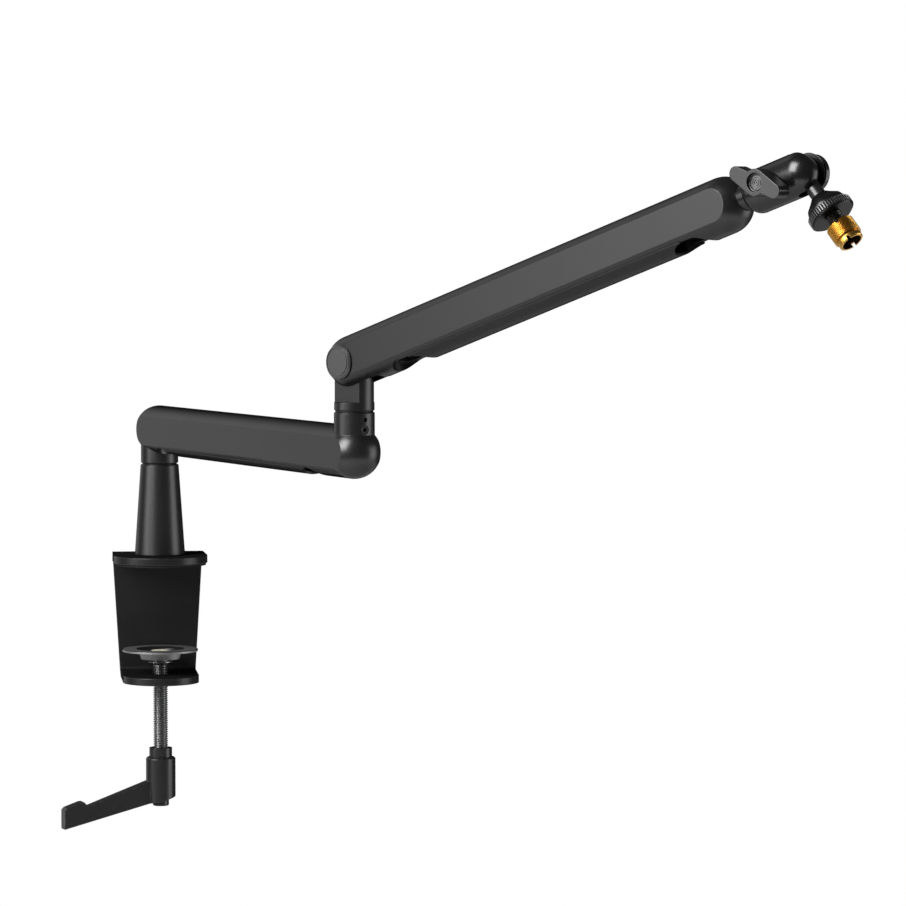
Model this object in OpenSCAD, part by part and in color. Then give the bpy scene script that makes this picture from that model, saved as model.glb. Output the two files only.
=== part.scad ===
// Desk-mounted microphone boom arm: screw clamp, swivel post, two cable-channel arms
// and a tilting head with a threaded microphone adapter.
// Origin: on the post axis, in the face that lies on the desk. +Z up, millimetres.

/* [Pose of the arm] */
// Heading of the lower arm about the post, degrees from +X
lower_heading = -71.7; // [-180:0.1:180]
// Heading of the upper arm, degrees from +X
upper_heading = -50.5; // [-180:0.1:180]
// Rise of the upper arm above the level, degrees
upper_tilt = 17.7; // [-28:0.1:78]
// Lean of the microphone stud, degrees from square to the head over the front
stud_lean = 24.5; // [0:0.5:180]
// Turn of the wing screw about its own axis, degrees from the head's axis
wing_turn = -37.7; // [-180:0.1:180]
// Heading of the clamp lever, degrees from +X
lever_heading = 195; // [0:1:360]
// Turn of the adapter on its stud, degrees
adapter_turn = 60; // [-180:1:180]

/* [Desk clamp] */
// Thickness of the bent clamp plate
plate_t = 4.8; // [3:0.1:6]
// Half the width of the top jaw, and the radius of its round front
jaw_half_w = 31.3; // [27:0.1:40]
// Reach of the top jaw in front of the post axis
jaw_front = 36; // [34:0.5:60]
// Distance from the post axis to the outer face of the back plate
back_face = 37; // [32:0.5:50]
// Width of the back plate at the top bend
back_top_w = 60.5; // [50:0.5:62]
// Width of the back plate at the bottom bend
back_bottom_w = 50.4; // [40:0.5:58]
// Height of the throat from the desk face to the bottom jaw
throat_h = 73.6; // [66:0.1:100]
// Reach of the bottom jaw in front of the post axis
bottom_front = 33; // [27:0.5:45]
// Inner radius of the two bends
bend_r = 2; // [1:0.5:5]
// Thickness of the rubber pad under the top jaw
jaw_pad_t = 1.5; // [1:0.1:3]
// How far the rubber pad stays back from the edge of the jaw
jaw_pad_inset = 0.9; // [0.3:0.1:3]

/* [Clamp screw] */
// Diameter of the clamp screw
screw_d = 10; // [8:1:12]
// Depth of the pressure pad's face below the desk face
pad_drop = 56.6; // [52:0.1:58]
// Diameter of the pressure pad's flange
pad_d = 50.2; // [36:0.2:52]
// Diameter of the dish in the pressure pad
pad_dish_d = 32; // [26:0.5:34]
// Thickness of the pressure pad's flange and floor
pad_t = 1.6; // [1.5:0.1:3]
// Depth of the cup below the flange
pad_cup_h = 5.3; // [3:0.1:6]
// Diameter of the cup's floor
pad_cup_d = 25.3; // [20:0.1:27]
// Diameter of the conical washer under the pad
pad_washer_d = 15.5; // [14:0.5:20]
// Diameter of the screw head that holds the pad on the clamp screw
pad_head_d = 13; // [9:0.1:14]

/* [Indexing lever] */
// Depth of the top of the toothed insert below the desk face
insert_drop = 123; // [112:0.5:160]
// Diameter of the toothed insert's collar
insert_d = 15.2; // [13:0.1:17]
// Height of the collar above the hub
insert_h = 6.2; // [3:0.1:10]
// Diameter of the lever hub
hub_d = 19.7; // [18.6:0.1:26]
// Height of the lever hub on its axis
hub_h = 28.5; // [25:0.1:34]
// Diameter of the end screw below the hub
end_screw_d = 10.8; // [9:0.1:12.5]
// How far the end screw stands below the hub on its axis
end_screw_h = 4.2; // [3:0.1:10]
// Width of the lever arm
lever_w = 8.6; // [6:0.1:12]
// Distance from the screw axis to the tip of the lever
lever_len = 68; // [60:0.5:90]
// Height of the lever arm where it leaves the hub
lever_root_h = 15.3; // [12:0.1:18]
// Height of the lever arm where the thumb paddle starts
lever_end_h = 10.8; // [8:0.1:13]
// Height of the thumb paddle at the tip of the lever
paddle_h = 14.2; // [13.5:0.1:20]
// Length of the thumb paddle
paddle_len = 15; // [10:0.5:20]
// Slope of the lever's lower edge, degrees below the level
lever_fall = 13.7; // [5:0.1:20]

/* [Riser post] */
// Height of the post above the jaw
post_h = 60.5; // [45:0.5:120]
// Diameter of the post at its foot
post_base_d = 33.4; // [30:0.1:40]
// Diameter of the post at its top
post_top_d = 25.3; // [24:0.1:29]
// Diameter of the swivel spindles
spindle_d = 14; // [12:0.1:15]
// Wall of the plastic swivel bushes
bush_wall = 2; // [1.5:0.1:2.4]
// Length of the bush in the post
post_bush_len = 40; // [25:0.5:42]
// Thickness of the flange of each swivel bush
bush_flange_t = 0.7; // [0.5:0.1:1.5]
// Diameter of the bolt that holds the post on the jaw
post_bolt_d = 8; // [6:0.5:8]

/* [Arms] */
// Radius of both arm tubes and of their round ends
arm_r = 16; // [15.5:0.1:18]
// Distance from the middle of an arm to its flat sides
arm_flat = 13; // [12.8:0.1:14]
// Length of the lower arm between the post axis and the elbow axis
lower_len = 320; // [220:1:450]
// Length of the upper arm between the tilt pin and its far end
upper_len = 300; // [220:1:450]
// Height of the arm's axis above the bush at the foot of its collar
base_collar_h = 22.4; // [20:0.1:35]
// Diameter of the collar under the lower arm
base_collar_d = 24.8; // [23:0.1:25]
// Height of the elbow collar above the lower arm's axis
elbow_collar_h = 24; // [22:0.1:35]
// Diameter of the elbow collar
elbow_collar_d = 24.4; // [23.6:0.1:25]

/* [Cable channels] */
// Half the width of the cover and of the trough that it sits in
cover_half_w = 11.3; // [10.8:0.1:11.8]
// How far the cover stands below the round of the arm
cover_proud = 0.4; // [0:0.1:0.8]
// Wall of the cover
cover_wall = 1.6; // [1.2:0.1:2]
// Half the width of the cable channel
channel_half_w = 7.5; // [6.5:0.1:8]
// Height of the channel's roof below the arm's axis
channel_roof = 3.5; // [2.5:0.1:5]
// Length of the first cable opening in each arm, from the end of the trough to the cover
first_opening = 30; // [22:0.5:34]
// Length of the last cable opening in each arm
last_opening = 27; // [22:0.5:34]
// Start of the lower trough, from the post axis
lower_trough_start = 16; // [14:0.5:40]
// End of the lower trough, back from the elbow axis
lower_trough_end = 35; // [20:0.5:50]
// Start of the upper trough, from the tilt pin
upper_trough_start = 34; // [32:0.5:60]
// End of the upper trough, back from the middle of the round end
upper_trough_end = 12; // [9:0.5:30]

/* [Elbow] */
// Diameter of the knuckle
knuckle_d = 24.1; // [23:0.1:24.5]
// Height of the round foot of the knuckle below its flats
knuckle_foot_h = 5; // [3:0.1:8]
// Thickness of the knuckle's tongue
tongue_t = 12.5; // [10.5:0.1:13]
// Height of the tilt pin above the lower arm's axis
pin_rise = 53.8; // [52:0.1:60]
// Diameter of the tilt pin
pin_d = 10; // [8:0.1:10.5]
// Lowest tilt of the upper arm, degrees from the level
tilt_low = -30; // [-32:1:-28]
// Highest tilt of the upper arm, degrees from the level
tilt_high = 80; // [78:1:84]
// Turn of the elbow set screws from the lower arm's heading, degrees
set_screw_turn = 8; // [-30:1:30]
// Diameter of the tension set screw
tension_screw_d = 5; // [4:0.5:6]
// Diameter of the small locking set screw
lock_screw_d = 2.6; // [2:0.1:3]
// Depth of the tension set screw below the top of the collar
tension_screw_drop = 10.3; // [8:0.1:11]
// Depth of the small locking set screw below the top of the collar
lock_screw_drop = 4.3; // [3:0.1:5]

/* [Tilt pin caps] */
// Diameter of the caps over the tilt pin
cap_d = 20.5; // [19.6:0.1:21]
// How far each cap stands out from the flat of the arm
cap_proud = 1.6; // [1.4:0.1:4]
// Diameter of the ring groove in the face of each cap
cap_ring_d = 16.6; // [12:0.1:17]
// Diameter of the round seat sunk in the flat for each cap
cap_seat_d = 22.6; // [21.6:0.1:24]
// Depth of the seat
cap_seat_depth = 0.8; // [0.4:0.1:1]

/* [Head] */
// Diameter of the neck between the upper arm and the head
neck_d = 14.8; // [12:0.1:16]
// Diameter of the head's barrel
barrel_d = 24.4; // [23.6:0.1:28]
// Start of the rounded shoulder, from the middle of the arm's round end
shoulder_start = 19.2; // [18:0.1:24]
// Radius of the rounded shoulder
shoulder_r = 6; // [3:0.1:7]
// Distance from the middle of the arm's round end to the ball
ball_reach = 56.5; // [54:0.5:70]
// Radius of the ball
ball_r = 9.2; // [8.6:0.1:9.4]
// Diameter of the cap on the far side of the socket
socket_cap_d = 20.6; // [17:0.1:22]
// Distance from the middle of the socket to the outer face of its cap
socket_cap_out = 10.9; // [10.6:0.1:12]
// Width of the slot that the stud swings in
stud_slot_w = 10; // [9:0.1:11]
// Distance from the ball back to the wing screw
wing_setback = 16.5; // [15.5:0.1:18]
// Length of the wing screw's handle, tip to tip
wing_span = 36.4; // [26:0.2:44]
// Thickness of the wing handle
wing_t = 9; // [5:0.1:10]
// Radius of the boss in the middle of the wing handle
wing_boss_r = 7.4; // [6.2:0.1:8.5]
// Radius of each wing tip
wing_tip_r = 4; // [2.5:0.1:4.5]
// Diameter of the wing screw
wing_screw_d = 6; // [5:0.5:6]

/* [Microphone stud] */
// Diameter of the plain stem
stem_d = 8.5; // [7:0.1:8.6]
// Distance from the ball to the lock ring
ring_start = 17.5; // [16.5:0.1:22]
// Height of the lock ring
ring_h = 13.9; // [11:0.1:18]
// Diameter of the lock ring
ring_d = 26.2; // [23:0.1:30]
// Height of the knurled rim
knurl_h = 5; // [3:0.1:6]
// Number of ribs on the knurled rim
knurl_n = 52; // [36:2:72]
// Diameter of the 3/8 inch stud thread
stud_thread_d = 9.525; // [9.525]
// Diameter of the 5/8 inch adapter thread
adapter_thread_d = 15.875; // [15.875]
// Gap between the lock ring and the adapter
adapter_gap = 5.6; // [1:0.1:8]
// Length of the adapter
adapter_len = 13; // [12:0.5:20]

/* [Hidden] */
$fn = 96;

// Clearances
run_gap = 0.05;      // radial, a shaft that turns in its bore
fit_gap = 0.02;      // a pressed or screwed fit inside one body
face_gap = 0.02;     // between flat faces that slide on each other
seam = 0.3;          // visible seam round a snapped-in cover, and ball to socket
eps = 0.01;

// Heights of the clamp and the post
jaw_under_z = jaw_pad_t;
jaw_top_z = jaw_under_z + plate_t;
bottom_top_z = -throat_h;
bottom_under_z = bottom_top_z - plate_t;
back_inner = back_face - plate_t;
post_top_z = jaw_top_z + post_h;
lower_axis_z = post_top_z + bush_flange_t + 2 * face_gap + base_collar_h;

// Swivel bushes and spindles
bush_bore_r = spindle_d / 2 + run_gap;
bush_r = spindle_d / 2 + bush_wall;
bush_seat_r = bush_r + fit_gap;
bush_flange_r = bush_r + 2.3;
chamfer = 0.6;

// Post bolt
bolt_head_r = post_bolt_d * 0.95;
bolt_head_h = plate_t * 0.8;
bolt_grip = 18;

// Pressure pad, washer and screw
pad_face_z = -pad_drop;
pad_floor_z = pad_face_z - pad_t - pad_cup_h;
pad_wall = 1.7;
pad_washer_t = 1.5;
pad_boss_r = 5.5;
pad_boss_h = 1.6;
pad_stem_r = 3;
pad_head_t = 4.2;
pad_socket = 2;
washer_top_z = pad_floor_z - pad_boss_h - face_gap;
screw_top_z = washer_top_z - pad_washer_t - face_gap;

// Indexing lever
insert_top_z = -insert_drop;
hub_top_z = insert_top_z - insert_h;
hub_bottom_z = hub_top_z - hub_h;
insert_teeth = 18;
tooth_tip_r = insert_d / 2 - 0.8;
tooth_root_r = tooth_tip_r - 1;
tooth_w = 1.2;
tooth_h = 4;
tooth_gap = 0.1;
screw_depth = 10;
insert_bottom_z = hub_top_z - 9;
hub_step_z = insert_bottom_z - 1.6;
end_shank_r = 3;
end_head_z = hub_bottom_z + 2;
spring_gap = 0.1;
spring_wall = 1.1;

// Elbow heights, measured from the lower arm's axis
knuckle_foot = elbow_collar_h + bush_flange_t + 2 * face_gap;
flats_start = knuckle_foot + knuckle_foot_h;
elbow_bush_len = 26;
spindle_stub_r = 4;
spindle_stub_h = 12;

// Tilt pin stack, measured across the upper arm
tongue_half = tongue_t / 2;
friction_t = 0.6;
slot_half = tongue_half + friction_t + 2 * face_gap;
slot_r = knuckle_d / 2 + 0.35;
pin_head_r = pin_d / 2 + 3;
pin_head_t = 3.4;
pin_recess_r = pin_head_r + 0.3;
pin_recess = 3.4;
spring_stack_t = 1.5;
nut_recess = pin_recess + spring_stack_t;
cap_wall = 1.4;
cap_back = arm_flat - cap_seat_depth + face_gap;
cap_front = arm_flat + cap_proud;

// Cable trough and cover
shelf_z = -sqrt(arm_r * arm_r - cover_half_w * cover_half_w);
cover_r = arm_r + cover_proud;
cover_end_r = cover_half_w - 0.9;
leg_t = 1.5;
leg_h = 3.4;
barb = 0.35;

// Head, measured from the middle of the arm's round end
barrel_r = barrel_d / 2;
barrel_start = shoulder_start + shoulder_r;
socket_r = ball_r + seam;
barrel_bore_r = socket_r + 0.1;
wing_reach = ball_reach - wing_setback;
socket_cap_seat = 7.4;
neck_plug_end = wing_reach + 5.5;
shoe_front = ball_reach - stud_slot_w / 2 - 0.6;
neck_inner = 1.5;
ring_groove_x = 5;
snap_w = 1.2;
wing_back = barrel_r + 0.8;
wing_front = wing_back + wing_t;
wing_inset = 0.08;
wing_recess_r = 5.1;
wing_recess = 1.8;
wing_insert_r = 4.25;

// Microphone stud, measured from the ball along the stem
stud_thread_r = stud_thread_d / 2;
adapter_r = adapter_thread_d / 2;
ring_end = ring_start + ring_h;
adapter_start = ring_end + adapter_gap;
adapter_end = adapter_start + adapter_len;
stud_end = adapter_end - 5.5;

// Placements down the arm
module at_lower_arm() {
    translate([0, 0, lower_axis_z]) rotate([0, 0, lower_heading]) children();
}
module at_elbow() {
    at_lower_arm() translate([lower_len, 0, 0])
        rotate([0, 0, upper_heading - lower_heading]) children();
}
module at_upper_arm() {
    at_elbow() translate([0, 0, pin_rise]) rotate([0, -upper_tilt, 0]) children();
}
module at_head() {
    at_upper_arm() translate([upper_len, 0, 0]) children();
}
module at_wing() {
    at_head() translate([wing_reach, 0, 0]) rotate([90, 0, 0]) children();
}
module at_stud() {
    at_head() translate([ball_reach, 0, 0]) rotate([0, 180 - stud_lean, 0]) children();
}

// Shared shapes

// A ring or disc on the Z axis
module tube(r_out, r_in, z0, z1) {
    translate([0, 0, z0]) difference() {
        cylinder(r = r_out, h = z1 - z0);
        if (r_in > 0) translate([0, 0, -1]) cylinder(r = r_in, h = z1 - z0 + 2);
    }
}
// A solid turned about the Z axis from radius and height points
module turned(points) {
    rotate_extrude() polygon(points);
}
// A profile drawn in Y and Z, run along X from x0 to x1
module along_x(x0, x1) {
    translate([x0, 0, 0]) rotate([90, 0, 90]) linear_extrude(x1 - x0) children();
}
// A pin or bore across the arm, from y0 to y1
module across(r, y0, y1) {
    translate([0, y0, 0]) rotate([-90, 0, 0]) cylinder(r = r, h = y1 - y0);
}
// A rectangle with four round corners
module round_box(x0, y0, x1, y1, r) {
    translate([x0, y0 + r]) square([x1 - x0, y1 - y0 - 2 * r]);
    translate([x0 + r, y0]) square([x1 - x0 - 2 * r, y1 - y0]);
    for (x = [x0 + r, x1 - r], y = [y0 + r, y1 - r]) translate([x, y]) circle(r);
}
// A slot with round ends, from x0 to x1
module stadium(x0, x1, r) {
    translate([x0 + r, -r]) square([x1 - x0 - 2 * r, 2 * r]);
    for (x = [x0 + r, x1 - r]) translate([x, 0]) circle(r);
}
// A hexagonal socket on the Z axis
module hex_socket(across_flats, z0, z1) {
    translate([0, 0, z0]) cylinder(r = across_flats / sqrt(3), h = z1 - z0, $fn = 6);
}

// Desk clamp

// Plan of the top jaw: a flared plate with a round front
module jaw_plan(inset = 0) {
    r = jaw_half_w - inset;
    rear = back_top_w / 2 - inset;
    y = jaw_half_w - jaw_front;
    translate([0, y]) circle(r);
    polygon([[-r, y], [r, y], [rear, back_face], [-rear, back_face]]);
}
// Plan of the bottom jaw
module bottom_plan() {
    r = back_bottom_w / 2;
    y = r - bottom_front;
    translate([0, y]) circle(r);
    translate([-r, y]) square([2 * r, back_face - y]);
}
// The bent plate seen from the side
module clamp_side() {
    front = -jaw_front - bottom_front;
    difference() {
        round_box(front, bottom_under_z, back_face, jaw_top_z, bend_r + plate_t);
        round_box(front - 2 * plate_t, bottom_top_z, back_inner, jaw_under_z, bend_r);
    }
}
// The back plate seen from the front
module back_plate_face() {
    polygon([[-back_bottom_w / 2, bottom_under_z], [back_bottom_w / 2, bottom_under_z],
             [back_top_w / 2, jaw_top_z], [-back_top_w / 2, jaw_top_z]]);
}
module post_bolt_shape(gap) {
    z = jaw_under_z;
    turned([[0, z], [bolt_head_r + gap, z], [bolt_head_r + gap, z + 0.6],
            [post_bolt_d / 2 + gap, z + bolt_head_h], [post_bolt_d / 2 + gap, z + plate_t + bolt_grip],
            [0, z + plate_t + bolt_grip]]);
}
module clamp_frame() {
    color([0.16, 0.16, 0.165]) difference() {
        intersection() {
            along_x(-jaw_half_w - 1, jaw_half_w + 1) clamp_side();
            union() {
                translate([0, 0, jaw_under_z - bend_r])
                    linear_extrude(plate_t + bend_r) jaw_plan();
                translate([0, back_face, 0]) rotate([90, 0, 0])
                    linear_extrude(plate_t + bend_r) back_plate_face();
                translate([0, 0, bottom_under_z]) linear_extrude(plate_t + bend_r) bottom_plan();
            }
        }
        post_bolt_shape(fit_gap);
        translate([0, 0, jaw_under_z - 1]) cylinder(r = bolt_head_r + fit_gap, h = 1 + eps);
        tube(screw_d / 2 + run_gap, 0, bottom_under_z - 1, bottom_top_z + 1);
    }
}
module jaw_pad() {
    color([0.08, 0.08, 0.08]) intersection() {
        linear_extrude(jaw_pad_t) jaw_plan(jaw_pad_inset);
        translate([-jaw_half_w, -jaw_front, -1])
            cube([2 * jaw_half_w, jaw_front + back_inner - bend_r, jaw_pad_t + 2]);
    }
}
module post_bolt() {
    color([0.3, 0.3, 0.31]) difference() {
        post_bolt_shape(0);
        hex_socket(5, jaw_under_z - 1, jaw_under_z + 2.6);
    }
}

// Riser post and lower swivel

module riser_post() {
    r0 = post_base_d / 2;
    r1 = post_top_d / 2;
    bolt_top = jaw_under_z + plate_t + bolt_grip;
    bore_floor = post_top_z - post_bush_len - 2;
    color([0.17, 0.17, 0.175]) difference() {
        turned([[0, jaw_top_z], [r0 - chamfer, jaw_top_z], [r0, jaw_top_z + chamfer],
                [r1, post_top_z - chamfer], [r1 - chamfer, post_top_z], [0, post_top_z]]);
        tube(bush_seat_r, 0, max(bore_floor, bolt_top + 3), post_top_z + 1);
        tube(post_bolt_d / 2 + fit_gap, 0, jaw_top_z - 1, bolt_top + 1);
    }
}
// A plastic bush: a sleeve of the given length below z = 0 and a thin flange on top
module swivel_bush(sleeve) {
    difference() {
        union() {
            tube(bush_r, 0, -sleeve, eps);
            tube(bush_flange_r, 0, 0, bush_flange_t);
        }
        tube(bush_bore_r, 0, -sleeve - 1, bush_flange_t + 1);
    }
}
module post_bushing() {
    color([0.07, 0.07, 0.07])
        translate([0, 0, post_top_z + face_gap])
            swivel_bush(min(post_bush_len, post_h - plate_t - bolt_grip));
}
module base_spindle() {
    reach = min(post_bush_len, post_h - plate_t - bolt_grip) - 1;
    foot = post_top_z - reach;
    top = lower_axis_z + 3.5;
    r = spindle_d / 2;
    color([0.55, 0.55, 0.56])
        turned([[0, foot], [r - 1, foot], [r, foot + 1], [r, top - 1], [r - 1, top], [0, top]]);
}

// Clamp screw and pressure pad

module pressure_pad() {
    dish_r = pad_dish_d / 2;
    cup_top_r = pad_cup_d / 2 + pad_wall;
    rim_r = min(dish_r, cup_top_r) - 1.2;
    boss_z = pad_floor_z - pad_boss_h;
    color([0.62, 0.62, 0.63]) turned([
        [pad_stem_r + run_gap, boss_z], [pad_boss_r, boss_z],
        [pad_boss_r, pad_floor_z], [pad_cup_d / 2, pad_floor_z],
        [cup_top_r, pad_face_z - pad_t], [pad_d / 2, pad_face_z - pad_t],
        [pad_d / 2, pad_face_z - 0.4], [pad_d / 2 - 0.4, pad_face_z],
        [dish_r, pad_face_z], [rim_r, pad_face_z - 0.7 * pad_t],
        [rim_r - pad_wall, pad_floor_z + pad_t],
        [pad_stem_r + run_gap, pad_floor_z + pad_t]]);
}
module pad_washer() {
    r = pad_washer_d / 2;
    z = washer_top_z;
    color([0.5, 0.5, 0.51]) turned([
        [pad_stem_r + fit_gap, z - pad_washer_t], [screw_d / 2, z - pad_washer_t],
        [r, z - 0.6], [r, z], [pad_stem_r + fit_gap, z]]);
}
module pad_head_screw() {
    r = pad_head_d / 2;
    z = pad_floor_z + pad_t + face_gap;
    color([0.8, 0.8, 0.78]) difference() {
        union() {
            turned([[0, z], [r, z], [r, z + pad_head_t - 0.9], [r - 0.9, z + pad_head_t],
                    [0, z + pad_head_t]]);
            tube(pad_stem_r, 0, screw_top_z - 8, z + eps);
        }
        hex_socket(4, z + pad_head_t - pad_socket, z + pad_head_t + 1);
    }
}
module clamp_screw() {
    r = screw_d / 2;
    z0 = insert_top_z - screw_depth;
    color([0.42, 0.42, 0.43]) difference() {
        turned([[0, z0], [r, z0], [r, screw_top_z - 0.8], [r - 0.8, screw_top_z], [0, screw_top_z]]);
        tube(pad_stem_r + fit_gap, 0, screw_top_z - 9, screw_top_z + 1);
    }
}

// Indexing lever

// Plan of the toothed disc: a round core with square teeth
module toothed_plan(gap) {
    circle(tooth_root_r + gap);
    for (i = [0 : insert_teeth - 1]) rotate(i * 360 / insert_teeth)
        translate([tooth_root_r - 1, -tooth_w / 2 - gap])
            square([tooth_tip_r - tooth_root_r + 1 + gap, tooth_w + 2 * gap]);
}
module lever_insert() {
    color([0.12, 0.12, 0.125]) difference() {
        union() {
            tube(insert_d / 2, 0, hub_top_z + face_gap, insert_top_z);
            translate([0, 0, hub_top_z - tooth_h]) linear_extrude(tooth_h + 0.5) toothed_plan(0);
            tube(tooth_root_r, 0, insert_bottom_z, hub_top_z);
        }
        tube(screw_d / 2 + fit_gap, 0, insert_top_z - screw_depth - fit_gap, insert_top_z + 1);
        tube(end_shank_r + fit_gap, 0, insert_bottom_z - 1, insert_top_z);
    }
}
module lever_end_screw() {
    r = end_screw_d / 2;
    z = hub_bottom_z - end_screw_h;
    color([0.13, 0.13, 0.135]) difference() {
        union() {
            turned([[0, z], [r - 0.5, z], [r, z + 0.5], [r, end_head_z], [0, end_head_z]]);
            tube(end_shank_r, 0, end_head_z - eps, insert_top_z - screw_depth - 0.5);
        }
        hex_socket(5, z - 1, z + 3.5);
    }
}
// Coil spring between the head of the end screw and the step in the hub
module lever_spring() {
    r = end_screw_d / 2 - 0.3;
    color([0.6, 0.6, 0.6])
        tube(r, r - spring_wall, end_head_z + spring_gap, hub_step_z - spring_gap);
}
// Side of the lever arm: X is the distance from the screw axis, Y is the height.
// It reaches below the slanted cut that forms the lever's lower face.
module lever_side() {
    fall = tan(lever_fall);
    root_x = hub_d / 4;
    paddle_x = lever_len - paddle_len;
    tip = hub_bottom_z - fall * lever_len;
    notch = hub_bottom_z - fall * paddle_x + lever_end_h;
    step = 3.2;
    bevel = 1.6;
    polygon([[0, tip - 1], [lever_len, tip - 1], [lever_len, tip + paddle_h - bevel],
             [lever_len - bevel, tip + paddle_h], [paddle_x + step, notch + step],
             [paddle_x + step / 2, notch + step], [paddle_x - step / 2, notch],
             [root_x, hub_bottom_z - fall * root_x + lever_root_h],
             [0, hub_bottom_z + lever_root_h]]);
}
// Everything above the slanted lower face of the lever
module above_lever_cut() {
    fall = tan(lever_fall);
    back = -hub_d;
    front = lever_len + 1;
    polygon([[back, hub_bottom_z - fall * back], [front, hub_bottom_z - fall * front],
             [front, hub_top_z + 1], [back, hub_top_z + 1]]);
}
module clamp_lever() {
    r = hub_d / 2;
    foot = hub_bottom_z - hub_d;
    color([0.13, 0.13, 0.135]) rotate([0, 0, lever_heading]) difference() {
        intersection() {
            union() {
                turned([[0, foot], [r, foot], [r, hub_top_z - 1], [r - 1, hub_top_z],
                        [0, hub_top_z]]);
                rotate([90, 0, 0]) linear_extrude(lever_w, center = true) lever_side();
            }
            rotate([90, 0, 0]) linear_extrude(2 * hub_d, center = true) above_lever_cut();
        }
        translate([0, 0, hub_top_z - tooth_h - tooth_gap]) rotate(-lever_heading)
            linear_extrude(tooth_h + 2) toothed_plan(tooth_gap);
        tube(tooth_root_r + run_gap, 0, insert_bottom_z - tooth_gap, hub_top_z - tooth_h);
        tube(end_shank_r + run_gap, 0, hub_step_z - 1, hub_top_z - tooth_h);
        tube(end_screw_d / 2 + run_gap, 0, foot - 1, hub_step_z);
    }
}

// Arms

// A tube with round ends and two flat sides, from x = 0 to x = len
module arm_body(len) {
    intersection() {
        union() {
            rotate([0, 90, 0]) cylinder(r = arm_r, h = len);
            sphere(arm_r);
            translate([len, 0, 0]) sphere(arm_r);
        }
        translate([-arm_r - 1, -arm_flat, -arm_r - 1])
            cube([len + 2 * arm_r + 2, 2 * arm_flat, 2 * arm_r + 2]);
    }
}
// The trough for the cover and the cable channel above it
module cable_trough(x0, x1) {
    step = cover_half_w - channel_half_w;
    translate([0, 0, -arm_r - 1]) linear_extrude(arm_r + 1 + shelf_z)
        stadium(x0, x1, cover_half_w);
    translate([0, 0, -arm_r]) linear_extrude(arm_r - channel_roof)
        stadium(x0 + step, x1 - step, channel_half_w);
    for (side = [-1, 1])
        translate([x0 + cover_half_w, side * channel_half_w, shelf_z + leg_h - barb * 2])
            rotate([0, 90, 0]) cylinder(r = barb, h = x1 - x0 - 2 * cover_half_w);
}
// Snap-in cover over the cable channel, with a scooped cable opening at each end
module cable_cover(trough_x0, trough_x1) {
    x0 = trough_x0 + first_opening - cover_end_r;
    x1 = trough_x1 - last_opening + cover_end_r;
    half = cover_half_w - seam / 2;
    leg_out = channel_half_w - fit_gap;
    top = shelf_z - seam / 2;
    difference() {
        union() {
            along_x(x0, x1) difference() {
                intersection() {
                    circle(cover_r);
                    translate([-half, -cover_r]) square([2 * half, cover_r + top]);
                }
                intersection() {
                    circle(cover_r - cover_wall);
                    square([2 * (leg_out - leg_t), 2 * arm_r], center = true);
                }
            }
            for (side = [-1, 1]) {
                translate([x0, side * (leg_out - leg_t / 2) - leg_t / 2, top - eps])
                    cube([x1 - x0, leg_t, leg_h]);
                translate([x0, side * leg_out, shelf_z + leg_h - barb * 2]) rotate([0, 90, 0])
                    cylinder(r = barb - 0.05, h = x1 - x0);
            }
        }
        for (x = [x0, x1]) translate([x, 0, -cover_r - 1]) cylinder(r = cover_end_r, h = cover_r);
    }
}
// A round collar on the Z axis with a chamfered end at z1
module collar(r, z0, z1) {
    c = z1 > z0 ? chamfer : -chamfer;
    turned([[0, z0], [r, z0], [r, z1 - c], [r - chamfer, z1], [0, z1]]);
}
// Place of an elbow set screw, on the collar, pointing outwards along +Z
module at_set_screw(drop) {
    translate([lower_len, 0, elbow_collar_h - drop]) rotate([0, 0, set_screw_turn])
        rotate([0, 90, 0]) children();
}
module lower_arm() {
    wall_r = elbow_collar_d / 2;
    color([0.2, 0.2, 0.205]) at_lower_arm() difference() {
        union() {
            arm_body(lower_len);
            collar(base_collar_d / 2, 0, -base_collar_h);
            translate([lower_len, 0, 0]) collar(wall_r, 0, elbow_collar_h);
        }
        cable_trough(lower_trough_start, lower_len - lower_trough_end);
        tube(spindle_d / 2 + fit_gap, 0, -base_collar_h - 1, 4);
        translate([lower_len, 0, 0])
            tube(bush_seat_r, 0, elbow_collar_h - elbow_bush_len - 1, elbow_collar_h + 1);
        at_set_screw(tension_screw_drop)
            cylinder(r = tension_screw_d / 2 + fit_gap, h = wall_r + 1);
        at_set_screw(lock_screw_drop)
            cylinder(r = lock_screw_d / 2 + fit_gap, h = wall_r + 1);
    }
}
module lower_cable_cover() {
    color([0.17, 0.17, 0.175]) at_lower_arm()
        cable_cover(lower_trough_start, lower_len - lower_trough_end);
}
module elbow_bushing() {
    color([0.07, 0.07, 0.07]) at_lower_arm()
        translate([lower_len, 0, elbow_collar_h + face_gap]) swivel_bush(elbow_bush_len);
}
module tension_set_screw() {
    back = bush_r + fit_gap + 0.05;
    front = elbow_collar_d / 2 - 0.5;
    color([0.14, 0.14, 0.14]) at_lower_arm() at_set_screw(tension_screw_drop) difference() {
        tube(tension_screw_d / 2, 0, back, front);
        hex_socket(2.5, front - 1.6, front + 1);
    }
}
module lock_set_screw() {
    back = bush_r + fit_gap + 0.05;
    front = elbow_collar_d / 2 - 1.5;
    color([0.05, 0.05, 0.05]) at_lower_arm() at_set_screw(lock_screw_drop)
        tube(lock_screw_d / 2, 0, back, front);
}

// Elbow

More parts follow.
